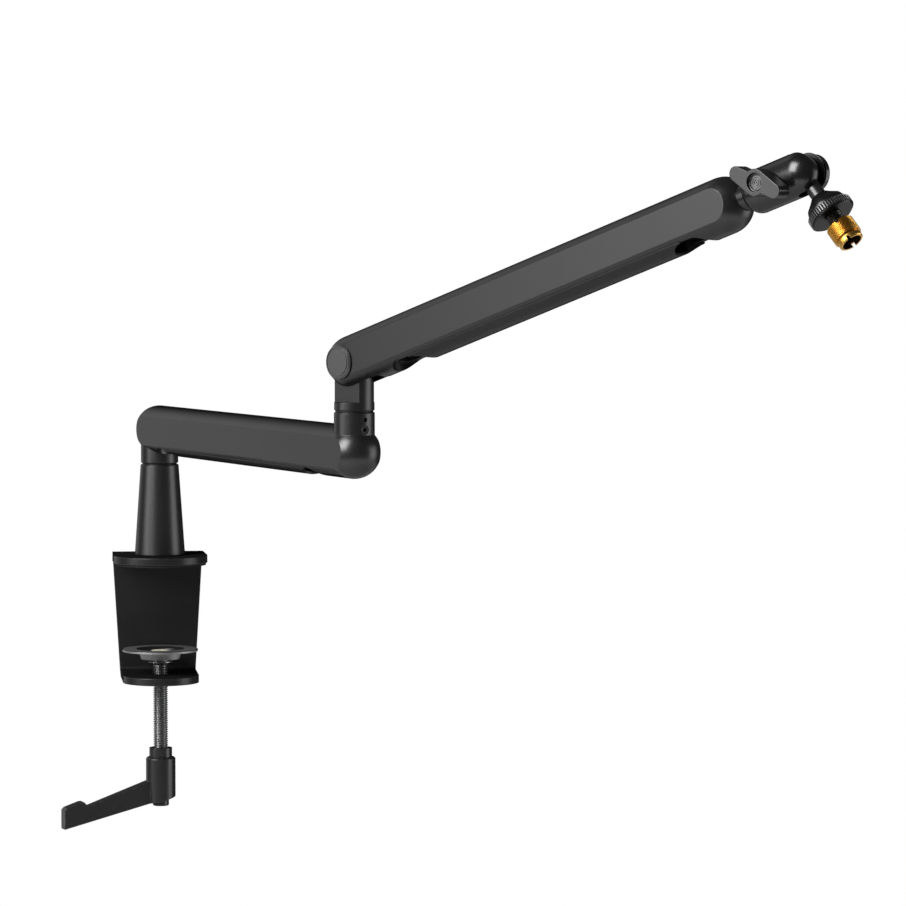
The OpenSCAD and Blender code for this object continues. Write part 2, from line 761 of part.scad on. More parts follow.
module elbow_knuckle() {
    r = knuckle_d / 2;
    color([0.18, 0.18, 0.185]) at_elbow() difference() {
        union() {
            turned([[0, knuckle_foot], [r - chamfer, knuckle_foot], [r, knuckle_foot + chamfer],
                    [r, flats_start], [0, flats_start]]);
            intersection() {
                tube(r, 0, flats_start - eps, pin_rise + r);
                translate([-r, -tongue_half, flats_start - eps]) cube([2 * r, tongue_t, pin_rise]);
                union() {
                    translate([-r, -r, 0]) cube([2 * r, 2 * r, pin_rise]);
                    translate([0, 0, pin_rise]) across(r, -r, r);
                }
            }
        }
        translate([0, 0, pin_rise]) across(pin_d / 2 + run_gap, -r, r);
        tube(spindle_stub_r + fit_gap, 0, knuckle_foot - 1, knuckle_foot + spindle_stub_h + 0.5);
    }
}
module elbow_spindle() {
    r = spindle_d / 2;
    foot = elbow_collar_h - elbow_bush_len + 1;
    top = knuckle_foot - face_gap;
    color([0.55, 0.55, 0.56]) at_elbow() union() {
        turned([[0, foot], [r - 1, foot], [r, foot + 1], [r, top], [0, top]]);
        tube(spindle_stub_r, 0, top - eps, knuckle_foot + spindle_stub_h);
    }
}

// Point at a distance in a direction
function polar(distance, angle) = distance * [cos(angle), sin(angle)];
// The space that the knuckle sweeps in the upper arm's frame, as a plan in X and Z
module knuckle_sweep() {
    low = -90 - tilt_low;
    high = -90 - tilt_high;
    side = slot_r - 0.05;
    far = 4 * arm_r;
    first = polar(side, low + 90);
    last = polar(side, high - 90);
    circle(slot_r);
    polygon([[0, 0], first, first + polar(far, low), polar(2 * far, (low + high) / 2),
             last + polar(far, high), last]);
}
module upper_arm() {
    color([0.21, 0.21, 0.215]) at_upper_arm() difference() {
        arm_body(upper_len);
        rotate([90, 0, 0]) linear_extrude(2 * slot_half, center = true) knuckle_sweep();
        across(pin_d / 2 + fit_gap, -arm_r, arm_r);
        across(pin_recess_r, -arm_r, -arm_flat + pin_recess);
        across(pin_recess_r, arm_flat - nut_recess, arm_r);
        across(cap_seat_d / 2, -arm_r, -arm_flat + cap_seat_depth);
        across(cap_seat_d / 2, arm_flat - cap_seat_depth, arm_r);
        cable_trough(upper_trough_start, upper_len - upper_trough_end);
        translate([upper_len, 0, 0]) rotate([0, 90, 0]) {
            tube(neck_d / 2 + run_gap, 0, neck_inner - 1, arm_r + 1);
            tube(neck_d / 2 + 0.7, 0, ring_groove_x, ring_groove_x + snap_w + 2 * fit_gap);
        }
    }
}
module upper_cable_cover() {
    color([0.17, 0.17, 0.175]) at_upper_arm()
        cable_cover(upper_trough_start, upper_len - upper_trough_end);
}
// Bolt through the elbow, with its head on the near side
module tilt_pin() {
    head_y = arm_flat - pin_recess;
    color([0.5, 0.5, 0.51]) at_upper_arm() difference() {
        union() {
            across(pin_d / 2, -head_y - 1, cap_front - cap_wall - 0.4);
            across(pin_head_r, -head_y - pin_head_t, -head_y - face_gap);
        }
        translate([0, -head_y - pin_head_t + 2, 0]) rotate([90, 0, 0]) hex_socket(6, 0, pin_head_t);
    }
}
module tilt_nut() {
    y = arm_flat - pin_recess + face_gap;
    color([0.5, 0.5, 0.51]) at_upper_arm() difference() {
        translate([0, y, 0]) rotate([-90, 0, 0])
            cylinder(r = pin_head_r, h = pin_head_t - 2 * face_gap, $fn = 6);
        across(pin_d / 2 + fit_gap, y - 1, y + pin_head_t + 1);
    }
}
module disc_springs() {
    y0 = arm_flat - nut_recess + face_gap;
    y1 = arm_flat - pin_recess - face_gap;
    color([0.6, 0.6, 0.61]) at_upper_arm() difference() {
        across(pin_head_r - 0.2, y0, y1);
        across(pin_d / 2 + fit_gap, y0 - 1, y1 + 1);
    }
}
module friction_washers() {
    y0 = tongue_half + face_gap;
    color([0.1, 0.1, 0.1]) at_upper_arm() for (side = [0, 1]) mirror([0, side, 0]) difference() {
        across(slot_r - 1.5, y0, y0 + friction_t);
        across(pin_d / 2 + fit_gap, y0 - 1, y0 + friction_t + 1);
    }
}
// Cap over the end of the tilt pin, facing +Y
module pin_cap() {
    r = cap_d / 2;
    bevel = 1.1;
    ring_r = cap_ring_d / 2;
    rotate([-90, 0, 0]) turned([
        [r - cap_wall, cap_back], [r, cap_back], [r, cap_front - bevel], [r - bevel, cap_front],
        [ring_r + 0.3, cap_front], [ring_r + 0.3, cap_front - 0.4], [ring_r - 0.3, cap_front - 0.4],
        [ring_r - 0.3, cap_front], [0, cap_front], [0, cap_front - cap_wall + 0.1],
        [r - cap_wall, cap_front - cap_wall + 0.1]]);
}
module near_pin_cap() {
    color([0.28, 0.28, 0.285]) at_upper_arm() mirror([0, 1, 0]) pin_cap();
}
module far_pin_cap() {
    color([0.28, 0.28, 0.285]) at_upper_arm() pin_cap();
}
// Split ring that keeps the neck in the arm's round end
module neck_snap_ring() {
    r = neck_d / 2;
    color([0.5, 0.5, 0.5]) at_head() difference() {
        rotate([0, 90, 0])
            tube(r + 0.6, r - 0.8 + run_gap, ring_groove_x + fit_gap, ring_groove_x + fit_gap + snap_w);
        translate([ring_groove_x - 1, -1.5, 0]) cube([snap_w + 2, 3, 2 * r]);
    }
}

// Head

module head_neck() {
    r = neck_d / 2;
    plug_r = barrel_bore_r - fit_gap;
    seat = barrel_start - face_gap;
    color([0.15, 0.15, 0.155]) at_head() difference() {
        rotate([0, 90, 0]) rotate_extrude() union() {
            translate([0, neck_inner]) square([r, seat - neck_inner]);
            intersection() {
                translate([barrel_r - shoulder_r, barrel_start]) circle(shoulder_r);
                translate([0, shoulder_start]) square([barrel_r, seat - shoulder_start]);
            }
            translate([0, shoulder_start])
                square([barrel_r - shoulder_r, seat - shoulder_start]);
            translate([0, seat - eps]) square([plug_r, neck_plug_end - seat]);
        }
        rotate([0, 90, 0])
            tube(r + 1, r - 0.8, ring_groove_x, ring_groove_x + snap_w + 2 * fit_gap);
        translate([wing_reach, 0, 0]) across(wing_screw_d / 2 + run_gap, -barrel_r, 5);
        rotate([0, 90, 0]) tube(2.5 + run_gap, 0, wing_reach, neck_plug_end + 1);
    }
}
// Disc on the far side of the socket, between two distances from its middle
module socket_disc(r, near, far) {
    translate([ball_reach, 0, 0]) rotate([-90, 0, 0]) translate([0, 0, near])
        cylinder(r = r, h = far - near);
}
// Space that the stud swings through, from straight down over the front to straight up
module stud_slot() {
    reach = 2 * barrel_r;
    translate([0, 0, -reach]) cylinder(r = stud_slot_w / 2, h = 2 * reach);
    translate([0, -stud_slot_w / 2, -reach]) cube([reach, stud_slot_w, 2 * reach]);
}
module head_barrel() {
    color([0.15, 0.15, 0.155]) at_head() difference() {
        rotate([0, 90, 0]) rotate_extrude() intersection() {
            union() {
                translate([0, barrel_start]) square([barrel_r, ball_reach - barrel_start]);
                translate([0, ball_reach]) circle(barrel_r);
            }
            translate([0, barrel_start]) square([barrel_r, ball_reach]);
        }
        socket_disc(socket_cap_d / 2 + fit_gap, socket_cap_seat, 2 * barrel_r);
        rotate([0, 90, 0]) tube(barrel_bore_r, 0, barrel_start - 1, ball_reach);
        translate([ball_reach, 0, 0]) sphere(socket_r);
        translate([ball_reach, 0, 0]) stud_slot();
        translate([wing_reach, 0, 0]) across(wing_screw_d / 2 + run_gap, -barrel_d, 0);
    }
}
// Cap that closes the far side of the socket
module socket_cap() {
    r = socket_cap_d / 2;
    bevel = 0.5;
    color([0.16, 0.16, 0.165]) at_head() difference() {
        union() {
            socket_disc(r, socket_cap_seat + face_gap, socket_cap_out - bevel);
            socket_disc(r - bevel, socket_cap_out - bevel - eps, socket_cap_out);
        }
        translate([ball_reach, 0, 0]) sphere(socket_r);
    }
}
// Shoe that the wing screw drives against the ball, with a short push pin behind it
module brake_shoe() {
    color([0.75, 0.6, 0.3]) at_head() difference() {
        rotate([0, 90, 0]) union() {
            tube(barrel_bore_r - fit_gap, 0, neck_plug_end + 0.1, shoe_front);
            tube(2.5, 0, wing_reach + wing_screw_d / 2 + 0.1, neck_plug_end + 0.2);
        }
        socket_disc(socket_cap_d / 2 + 2 * run_gap, socket_cap_seat, barrel_r);
        translate([ball_reach, 0, 0]) sphere(socket_r);
    }
}
// Straight part of one wing: one side runs off the boss as a tangent, the other meets it at a corner
module wing_side(tip) {
    lean = acos((wing_boss_r - wing_tip_r) / tip);
    root = polar(wing_boss_r - wing_inset, lean);
    end = [tip, 0] + polar(wing_tip_r - wing_inset, lean);
    low = wing_inset - wing_tip_r;
    linear_extrude(wing_t) polygon([root, end, [tip, low], [wing_boss_r / 3, low], [0, 0]]);
}
module wing_handle() {
    tip = wing_span / 2 - wing_tip_r;
    color([0.34, 0.34, 0.345]) at_wing() rotate(wing_turn) difference() {
        translate([0, 0, wing_back]) union() {
            cylinder(r = wing_boss_r, h = wing_t);
            for (turn = [0, 180]) rotate(turn) {
                translate([tip, 0, 0]) cylinder(r = wing_tip_r, h = wing_t);
                wing_side(tip);
            }
        }
        tube(wing_recess_r, 0, wing_front - wing_recess, wing_front + 1);
        tube(wing_insert_r + fit_gap, 0, wing_back + 1.5, wing_front);
        tube(wing_screw_d / 2 + fit_gap, 0, wing_back - 1, wing_front);
    }
}
module wing_screw() {
    top = wing_front - wing_recess - 0.1;
    r = wing_screw_d / 2;
    color([0.4, 0.4, 0.41]) at_wing() union() {
        tube(wing_insert_r, 0, wing_back + 1.5 + fit_gap, top);
        turned([[0, -4.5], [r - 1.2, -4.5], [r, -3.3], [r, top - 1], [0, top - 1]]);
    }
}
module ball_stud() {
    color([0.13, 0.13, 0.135]) at_stud() union() {
        sphere(ball_r);
        tube(stem_d / 2, 0, 0, ring_start + 1);
        turned([[0, ring_start], [stud_thread_r - 0.5, ring_start], [stud_thread_r, ring_start + 0.5],
                [stud_thread_r, stud_end - 0.8], [stud_thread_r - 0.8, stud_end], [0, stud_end]]);
    }
}
// Knurled lock ring: a conical hub that widens into a ribbed rim
module lock_ring() {
    r = ring_d / 2;
    rib = 0.45;
    rib_w = 0.65;
    knurl_start = ring_end - knurl_h;
    hub_r = r - 2.6;
    hub_rise = ring_h * 0.36;
    bore = stud_thread_r + run_gap;
    color([0.2, 0.2, 0.205]) at_stud() union() {
        turned([[bore, ring_start], [bore + 0.6, ring_start], [hub_r, ring_start + hub_rise],
                [r - rib - 0.3, knurl_start], [r - rib - 0.3, ring_end - 0.3],
                [r - rib - 0.8, ring_end], [bore, ring_end]]);
        translate([0, 0, knurl_start]) linear_extrude(knurl_h - 0.5) difference() {
            union() {
                circle(r - rib);
                for (i = [0 : knurl_n - 1]) rotate(i * 360 / knurl_n)
                    translate([r - 2 * rib, -rib_w / 2]) square([2 * rib, rib_w]);
            }
            circle(bore + 1);
        }
    }
}
// Adapter: outside thread for the microphone clip, inside thread on the stud
module thread_adapter() {
    end_r = adapter_r - 1;
    groove = adapter_end - 3;
    bore = stud_thread_r + run_gap;
    slot = 2.2;
    cut = adapter_thread_d + 2;
    color([0.85, 0.62, 0.2]) at_stud() difference() {
        turned([[bore, adapter_start], [adapter_r - 0.8, adapter_start],
                [adapter_r, adapter_start + 0.8], [adapter_r, groove - 0.7],
                [end_r - 0.4, groove - 0.7], [end_r - 0.4, groove], [end_r, groove + 0.3],
                [end_r, adapter_end - 0.5], [end_r - 0.5, adapter_end],
                [bore + 0.4, adapter_end], [bore + 0.4, stud_end], [bore, stud_end]]);
        for (z = [adapter_start - 1, adapter_end - slot]) rotate(adapter_turn)
            translate([-cut / 2, -slot / 2, z]) cube([cut, slot, slot + 1]);
    }
}
clamp_frame();
jaw_pad();
post_bolt();
riser_post();
post_bushing();
pressure_pad();
clamp_screw();
pad_washer();
pad_head_screw();
lever_insert();
lever_end_screw();
lever_spring();
clamp_lever();
lower_arm();
lower_cable_cover();
base_spindle();
elbow_bushing();
tension_set_screw();
lock_set_screw();
elbow_knuckle();
elbow_spindle();
upper_arm();
upper_cable_cover();
tilt_pin();
tilt_nut();
disc_springs();
friction_washers();
near_pin_cap();
far_pin_cap();
neck_snap_ring();
head_neck();
head_barrel();
socket_cap();
brake_shoe();
wing_handle();
wing_screw();
ball_stud();
lock_ring();
thread_adapter();
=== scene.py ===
"""Studio scene of a desk-clamped microphone boom arm, dressed round its measured frame."""

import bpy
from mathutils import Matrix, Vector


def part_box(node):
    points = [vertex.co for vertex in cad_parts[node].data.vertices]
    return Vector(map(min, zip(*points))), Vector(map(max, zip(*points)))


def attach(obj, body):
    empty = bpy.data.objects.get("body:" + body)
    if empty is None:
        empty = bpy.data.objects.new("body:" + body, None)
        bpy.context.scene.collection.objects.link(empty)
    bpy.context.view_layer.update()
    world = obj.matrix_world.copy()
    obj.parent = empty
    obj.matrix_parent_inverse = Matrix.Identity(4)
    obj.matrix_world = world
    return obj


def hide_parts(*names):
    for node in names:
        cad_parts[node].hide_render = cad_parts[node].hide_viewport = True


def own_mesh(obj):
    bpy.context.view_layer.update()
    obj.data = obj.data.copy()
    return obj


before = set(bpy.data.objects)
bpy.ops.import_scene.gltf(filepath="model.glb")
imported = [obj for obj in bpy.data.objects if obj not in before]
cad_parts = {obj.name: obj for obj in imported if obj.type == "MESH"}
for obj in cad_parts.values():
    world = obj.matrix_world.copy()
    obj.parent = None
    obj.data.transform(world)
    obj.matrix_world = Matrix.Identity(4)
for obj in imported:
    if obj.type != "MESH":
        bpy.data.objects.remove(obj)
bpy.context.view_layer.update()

import logging
import math
from dataclasses import dataclass, field
from enum import Enum
from typing import Callable, ClassVar, Sequence

import bmesh
import bpy
from mathutils import Matrix, Vector

log = logging.getLogger("boom_arm")
MM = 0.001  # metres in a millimetre
ON_AXIS = 1e-6  # a corner nearer the axis than this lies on it, in millimetres
WELD = 1e-4  # corners nearer to each other than this become one
SLIVER = 1e-5  # edges shorter than this are taken out
TOUCH = 0.01  # slack with which a corner counts as lying on a surface
Point2 = tuple[float, float]
Point3 = tuple[float, float, float]
Form = bmesh.types.BMesh
Corner = bmesh.types.BMVert
Piece = bpy.types.Object
Socket = bpy.types.NodeSocket


class Profile(Enum):
    """Cross-section of a screw thread, as corners of (share of the pitch, share of the depth)."""

    METRIC = ((0.0, 0.0), (0.125, 0.0), (0.44, 1.0), (0.69, 1.0), (1.0, 0.0))
    PIPE = ((0.0, 0.0), (0.22, 0.0), (0.48, 1.0), (0.74, 1.0), (1.0, 0.0))

    def depth(self, turns: float) -> float:
        """Share of the full depth at a place on the helix.

        Args:
            turns: place along the thread, in pitches.

        Returns:
            0 on the crest, 1 at the root.
        """
        share = turns % 1.0
        for (first, low), (last, high) in zip(self.value, self.value[1:]):
            if share <= last:
                return low + (high - low) * (share - first) / (last - first)
        return 0.0


@dataclass(frozen=True)
class Station:
    """One height of a sleeve's outside: its radius and how deep its thread is cut there."""

    height: float
    radius: float
    cut: float = 0.0


@dataclass(frozen=True)
class Column:
    """One step round a sleeve: its angle outside and in the bore, and how deep a slot is there."""

    outer: float
    inner: float
    slot: float = 0.0


def turn(axis: str, degrees: float) -> Matrix:
    """Rotation about one of the frame's axes."""
    return Matrix.Rotation(math.radians(degrees), 4, axis)


def shift(x: float = 0, z: float = 0) -> Matrix:
    """Shift along the frame's X and Z axes."""
    return Matrix.Translation((x, 0, z))


def polar(radius: float, angle: float, height: float) -> Point3:
    """Place at a radius, an angle in radians and a height."""
    return radius * math.cos(angle), radius * math.sin(angle), height


@dataclass(frozen=True)
class ArmPose:
    """Pose and main stations of the arm at rest, in millimetres and degrees."""

    lower_heading: float = -71.7
    upper_heading: float = -50.5
    tilt: float = 17.7
    lean: float = 24.5
    lower_axis_z: float = 89.94
    lower_len: float = 320.0
    upper_len: float = 300.0
    pin_rise: float = 53.8
    ball_reach: float = 56.5
    wing_reach: float = 40.0
    wing_turn: float = -37.7

    def lower(self) -> Matrix:
        """Frame of the lower arm: X along the arm from the post axis."""
        return shift(z=self.lower_axis_z) @ turn("Z", self.lower_heading)

    def elbow(self) -> Matrix:
        """Frame of the elbow: Z up its axis, X along the upper arm's heading."""
        swing = self.upper_heading - self.lower_heading
        return self.lower() @ shift(x=self.lower_len) @ turn("Z", swing)

    def upper(self) -> Matrix:
        """Frame of the upper arm: X along the arm from the tilt pin."""
        return self.elbow() @ shift(z=self.pin_rise) @ turn("Y", -self.tilt)

    def head(self) -> Matrix:
        """Frame of the head: X out of the upper arm's round end."""
        return self.upper() @ shift(x=self.upper_len)

    def wing(self) -> Matrix:
        """Frame of the wing screw: Z outwards along the screw, X along the wing."""
        screw = self.head() @ shift(x=self.wing_reach) @ turn("X", 90)
        return screw @ turn("Z", self.wing_turn)

    def stud(self) -> Matrix:
        """Frame of the stud: Z from the ball along the stem."""
        return self.head() @ shift(x=self.ball_reach) @ turn("Y", 180 - self.lean)


class MeshShop:
    """Builds the meshes, in millimetres in a local frame, and places them in metres."""

    @staticmethod
    def place(name: str, form: Form, where: Matrix, smooth: float = 35) -> Piece:
        """Turns a mesh form into an object.

        Args:
            name: name of the piece.
            form: the mesh, in millimetres in its local frame. It is freed.
            where: the local frame, in millimetres.
            smooth: steepest angle between faces that still shades smoothly, in degrees.

        Returns:
            The new object, in metres.
        """
        mesh = bpy.data.meshes.new(name)
        bmesh.ops.recalc_face_normals(form, faces=form.faces)
        form.to_mesh(mesh)
        form.free()
        mesh.transform(Matrix.Scale(MM, 4) @ where)
        mesh.shade_smooth()
        mesh.set_sharp_from_angle(angle=math.radians(smooth))
        piece = bpy.data.objects.new(name, mesh)
        bpy.context.scene.collection.objects.link(piece)
        return piece

    @staticmethod
    def skin(form: Form, rows: list[list[Corner]], closed: bool = False) -> None:
        """Joins rows of corners by faces, round every row and from each one to the next.

        Args:
            form: the mesh that the corners belong to.
            rows: rows of equally many corners, or of a single one where the form closes.
            closed: whether the last row is joined to the first one too.
        """
        for first, second in zip(rows, rows[1:] + (rows[:1] if closed else [])):
            count = max(len(first), len(second))
            for step in range(count):
                after = (step + 1) % count
                ring = (first[step % len(first)], first[after % len(first)],
                        second[after % len(second)], second[step % len(second)])
                corners = list(dict.fromkeys(ring))
                if len(corners) > 2:
                    form.faces.new(corners)

    @staticmethod
    def turned(points: Sequence[Point2], segments: int = 72,
               reach: Callable[[int, float], float] | None = None) -> Form:
        """Turns a closed profile about Z.

        Args:
            points: (radius, height) corners of the profile, going round once.
            segments: steps round the axis.
            reach: changes the radius of one corner, by step and radius.

        Returns:
            The turned mesh form.
        """
        form = bmesh.new()
        rows = []
        for radius, height in points:
            row = []
            for step in range(segments if radius > ON_AXIS else 1):
                r = reach(step, radius) if reach else radius
                row.append(form.verts.new(polar(r, math.tau * step / segments, height)))
            rows.append(row)
        MeshShop.skin(form, rows, closed=len(rows[0]) > 1 and len(rows[-1]) > 1)
        return form

    @staticmethod
    def threaded(start: float, end: float, radius: float, depth: float, pitch: float,
                 steps: int = 8) -> list[Station]:
        """Stations of a thread that fades in and out over half a pitch.

        Args:
            start: height of its lower end.
            end: height of its upper end.
            radius: radius over the crests.
            depth: depth of the thread.
            pitch: rise of one turn.
            steps: stations in one pitch.

        Returns:
            The stations, from the lower end up.
        """
        count = math.ceil((end - start) / pitch * steps)
        rows = []
        for row in range(count + 1):
            height = start + (end - start) * row / count
            fade = min(1.0, 2 * min(height - start, end - height) / pitch)
            rows.append(Station(height, radius, depth * fade))
        return rows

    @staticmethod
    def columns(segments: int = 48) -> list[Column]:
        """Even steps round a sleeve without slots."""
        angles = [math.tau * step / segments for step in range(segments)]
        return [Column(angle, angle) for angle in angles]

    @staticmethod
    def sleeve(outside: Sequence[Station], inside: Sequence[Point2], columns: Sequence[Column],
               pitch: float, profile: Profile) -> Form:
        """Makes a threaded sleeve or rod on Z.

        Args:
            outside: stations of the outside, from the lower end up.
            inside: (radius, height) corners of the bore, from the lower end up; none for a rod.
            columns: steps round the sleeve.
            pitch: rise of one turn.
            profile: cross-section of the thread.

        Returns:
            The closed mesh form.
        """
        form = bmesh.new()
        low, high = outside[0].height, outside[-1].height

        def kept(height: float, column: Column) -> float:
            """Height of a corner, kept out of the slots."""
            return min(max(height, low + column.slot), high - column.slot)

        rows = []
        for station in outside:
            row = []
            for column in columns:
                height = kept(station.height, column)
                shown = station
                if station.height < height:
                    shown = next(item for item in outside if item.height >= height)
                elif station.height > height:
                    shown = next(item for item in reversed(outside) if item.height <= height)
                cut = shown.cut * profile.depth(height / pitch - column.outer / math.tau)
                row.append(form.verts.new(polar(shown.radius - cut, column.outer, height)))
            rows.append(row)
        for radius, height in reversed(inside):
            rows.append([form.verts.new(polar(radius, column.inner, kept(height, column)))
                         for column in columns])
        if not inside:
            rows += [[form.verts.new((0, 0, high))], [form.verts.new((0, 0, low))]]
        MeshShop.skin(form, rows, closed=True)
        bmesh.ops.remove_doubles(form, verts=form.verts, dist=WELD)
        bmesh.ops.dissolve_degenerate(form, edges=form.edges, dist=SLIVER)
        return form

    @staticmethod
    def coil(radius: float, wire: float, low: float, high: float, turns: int,
             sides: int = 12, steps: int = 32) -> Form:
        """Makes a coil spring on Z.

        Args:
            radius: outer radius of the coil.
            wire: thickness of the wire.
            low: height of its lower end.
            high: height of its upper end.
            turns: number of turns.
            sides: steps round the wire.
            steps: steps in one turn.

        Returns:
            The closed mesh form.
        """
        form = bmesh.new()
        thick, middle, count = wire / 2, radius - wire / 2, turns * steps
        rows = []
        for step in range(count + 1):
            angle = math.tau * turns * step / count
            height = low + thick + (high - low - wire) * step / count
            row = []
            for side in range(sides):
                around = math.tau * side / sides
                reach = middle + thick * math.cos(around)
                row.append(form.verts.new(polar(reach, angle, height + thick * math.sin(around))))
            rows.append(row)
        MeshShop.skin(form, rows)
        form.faces.new(rows[0])
        form.faces.new(list(reversed(rows[-1])))
        return form

    @staticmethod
    def slab(outline: Sequence[Point2], low: float, high: float) -> Form:
        """Extrudes an outline along Z.

        Args:
            outline: (x, y) corners, going round once.
            low: height of its lower face.
            high: height of its upper face.

        Returns:
            The closed mesh form.
        """
        form = bmesh.new()
        base = form.faces.new([form.verts.new((x, y, low)) for x, y in outline])
        made = bmesh.ops.extrude_face_region(form, geom=[base])
        moved = [v for v in made["geom"] if isinstance(v, Corner)]
        bmesh.ops.translate(form, verts=moved, vec=(0, 0, high - low))
        return form

    @staticmethod
    def mark(form: Form, picks: Callable[[float, float], int]) -> Form:
        """Gives each face the finish that its corners are picked for.

        Args:
            form: the mesh, turned about Z.
            picks: number of one corner's finish, by radius and height. The lowest one counts.

        Returns:
            The same mesh form.
        """
        for face in form.faces:
            face.material_index = min(int(picks(v.co.xy.length, v.co.z)) for v in face.verts)
        return form

    @staticmethod
    def soften(piece: Piece, width: float, segments: int = 3, angle: float = 30) -> None:
        """Rounds the sharp edges of a piece.

        Args:
            piece: the piece.
            width: width of the rounding, in millimetres.
            segments: steps across the rounding.
            angle: edges sharper than this are rounded, in degrees.
        """
        bevel = piece.modifiers.new("round edges", "BEVEL")
        bevel.width = width * MM
        bevel.segments = segments
        bevel.limit_method = "ANGLE"
        bevel.angle_limit = math.radians(angle)
        bevel.harden_normals = True

    @staticmethod
    def cut(piece: Piece, tool: Piece) -> None:
        """Cuts one shape out of another.

        Args:
            piece: the piece that is cut.
            tool: the shape that is taken out. It is removed.
        """
        modifier = piece.modifiers.new("cut", "BOOLEAN")
        modifier.operation = "DIFFERENCE"
        modifier.solver = "EXACT"
        modifier.object = tool
        MeshShop.settle(piece)
        bpy.data.objects.remove(tool)

    @staticmethod
    def settle(piece: Piece) -> None:
        """Makes the modifiers of a piece part of its mesh.

        Args:
            piece: the piece, whose modifiers are removed.
        """
        bpy.context.view_layer.update()
        shown = piece.evaluated_get(bpy.context.evaluated_depsgraph_get())
        mesh = bpy.data.meshes.new_from_object(shown)
        piece.modifiers.clear()
        piece.data = mesh

    @staticmethod
    def join(piece: Piece, *others: Piece) -> Piece:
        """Adds other pieces' meshes to a piece.

        Args:
            piece: the piece that they are added to.
            *others: the other pieces. They are removed.

        Returns:
            The piece.
        """
        form = bmesh.new()
        for item in (piece, *others):
            MeshShop.settle(item)
            form.from_mesh(item.data)
        form.to_mesh(piece.data)
        form.free()
        for item in others:
            bpy.data.objects.remove(item)
        return piece


class NodeSheet:
    """A node tree with short calls for adding and joining nodes."""

    def __init__(self, tree: bpy.types.NodeTree) -> None:
        """Keeps the tree."""
        self.tree = tree

    def feed(self, socket: Socket, value: object) -> None:
        """Sets an input, or joins an output to it.

        Args:
            socket: the input.
            value: its value, or the output that gives it.
        """
        if isinstance(value, Socket):
            self.tree.links.new(value, socket)
        else:
            socket.default_value = value

    def add(self, kind: str, **values: object) -> bpy.types.Node:
        """Adds a node.

        Args:
            kind: Blender's node type.
            **values: node settings, and sockets written with a leading in_.

        Returns:
            The new node.
        """
        node = self.tree.nodes.new(kind)
        for key, value in values.items():
            if not key.startswith("in_"):
                setattr(node, key, value)
        for key, value in values.items():
            if key.startswith("in_"):
                slot = key[3:].replace("_", " ")
                self.feed(node.inputs[int(slot) if slot.isdigit() else slot], value)
        return node

    def math(self, operation: str, first: object, second: object, clamp: bool = False) -> Socket:
        """Adds a Math node and returns its value."""
        values = {"operation": operation, "use_clamp": clamp, "in_0": first, "in_1": second}
        return self.add("ShaderNodeMath", **values).outputs[0]

    def ramp(self, value: Socket, span: Point2, out: Point2 = (0.0, 1.0)) -> Socket:
        """Maps a value from one range to another, clamped.

        Args:
            value: the value.
            span: the range it comes from.
            out: what it gives at either end of the range.

        Returns:
            The mapped value.
        """
        node = self.add("ShaderNodeMapRange", in_Value=value)
        for name, number in zip(("From Min", "From Max", "To Min", "To Max"), (*span, *out)):
            node.inputs[name].default_value = number
        return node.outputs["Result"]

    def blend(self, mask: Socket, first: Socket | Point3, second: Point3) -> Socket:
        """Mixes two colours by a mask.

        Args:
            mask: 0 for the first colour, 1 for the second.
            first: the first colour, or the output that gives it.
            second: the second colour.

        Returns:
            The mixed colour.
        """
        start = first if isinstance(first, Socket) else (*first, 1.0)
        node = self.add("ShaderNodeMix", data_type="RGBA", in_Factor=mask, in_6=start,
                        in_7=(*second, 1.0))
        return node.outputs[2]

    def noise(self, scale: object, detail: object, **values: object) -> Socket:
        """Adds noise that is fixed to the object and returns its value."""
        node = self.add("ShaderNodeTexNoise", in_Scale=scale, in_Detail=detail,
                        in_Vector=self.position(), **values)
        return node.outputs["Fac"]

    def position(self) -> Socket:
        """Adds the object's own coordinates."""
        return self.add("ShaderNodeTexCoord").outputs["Object"]


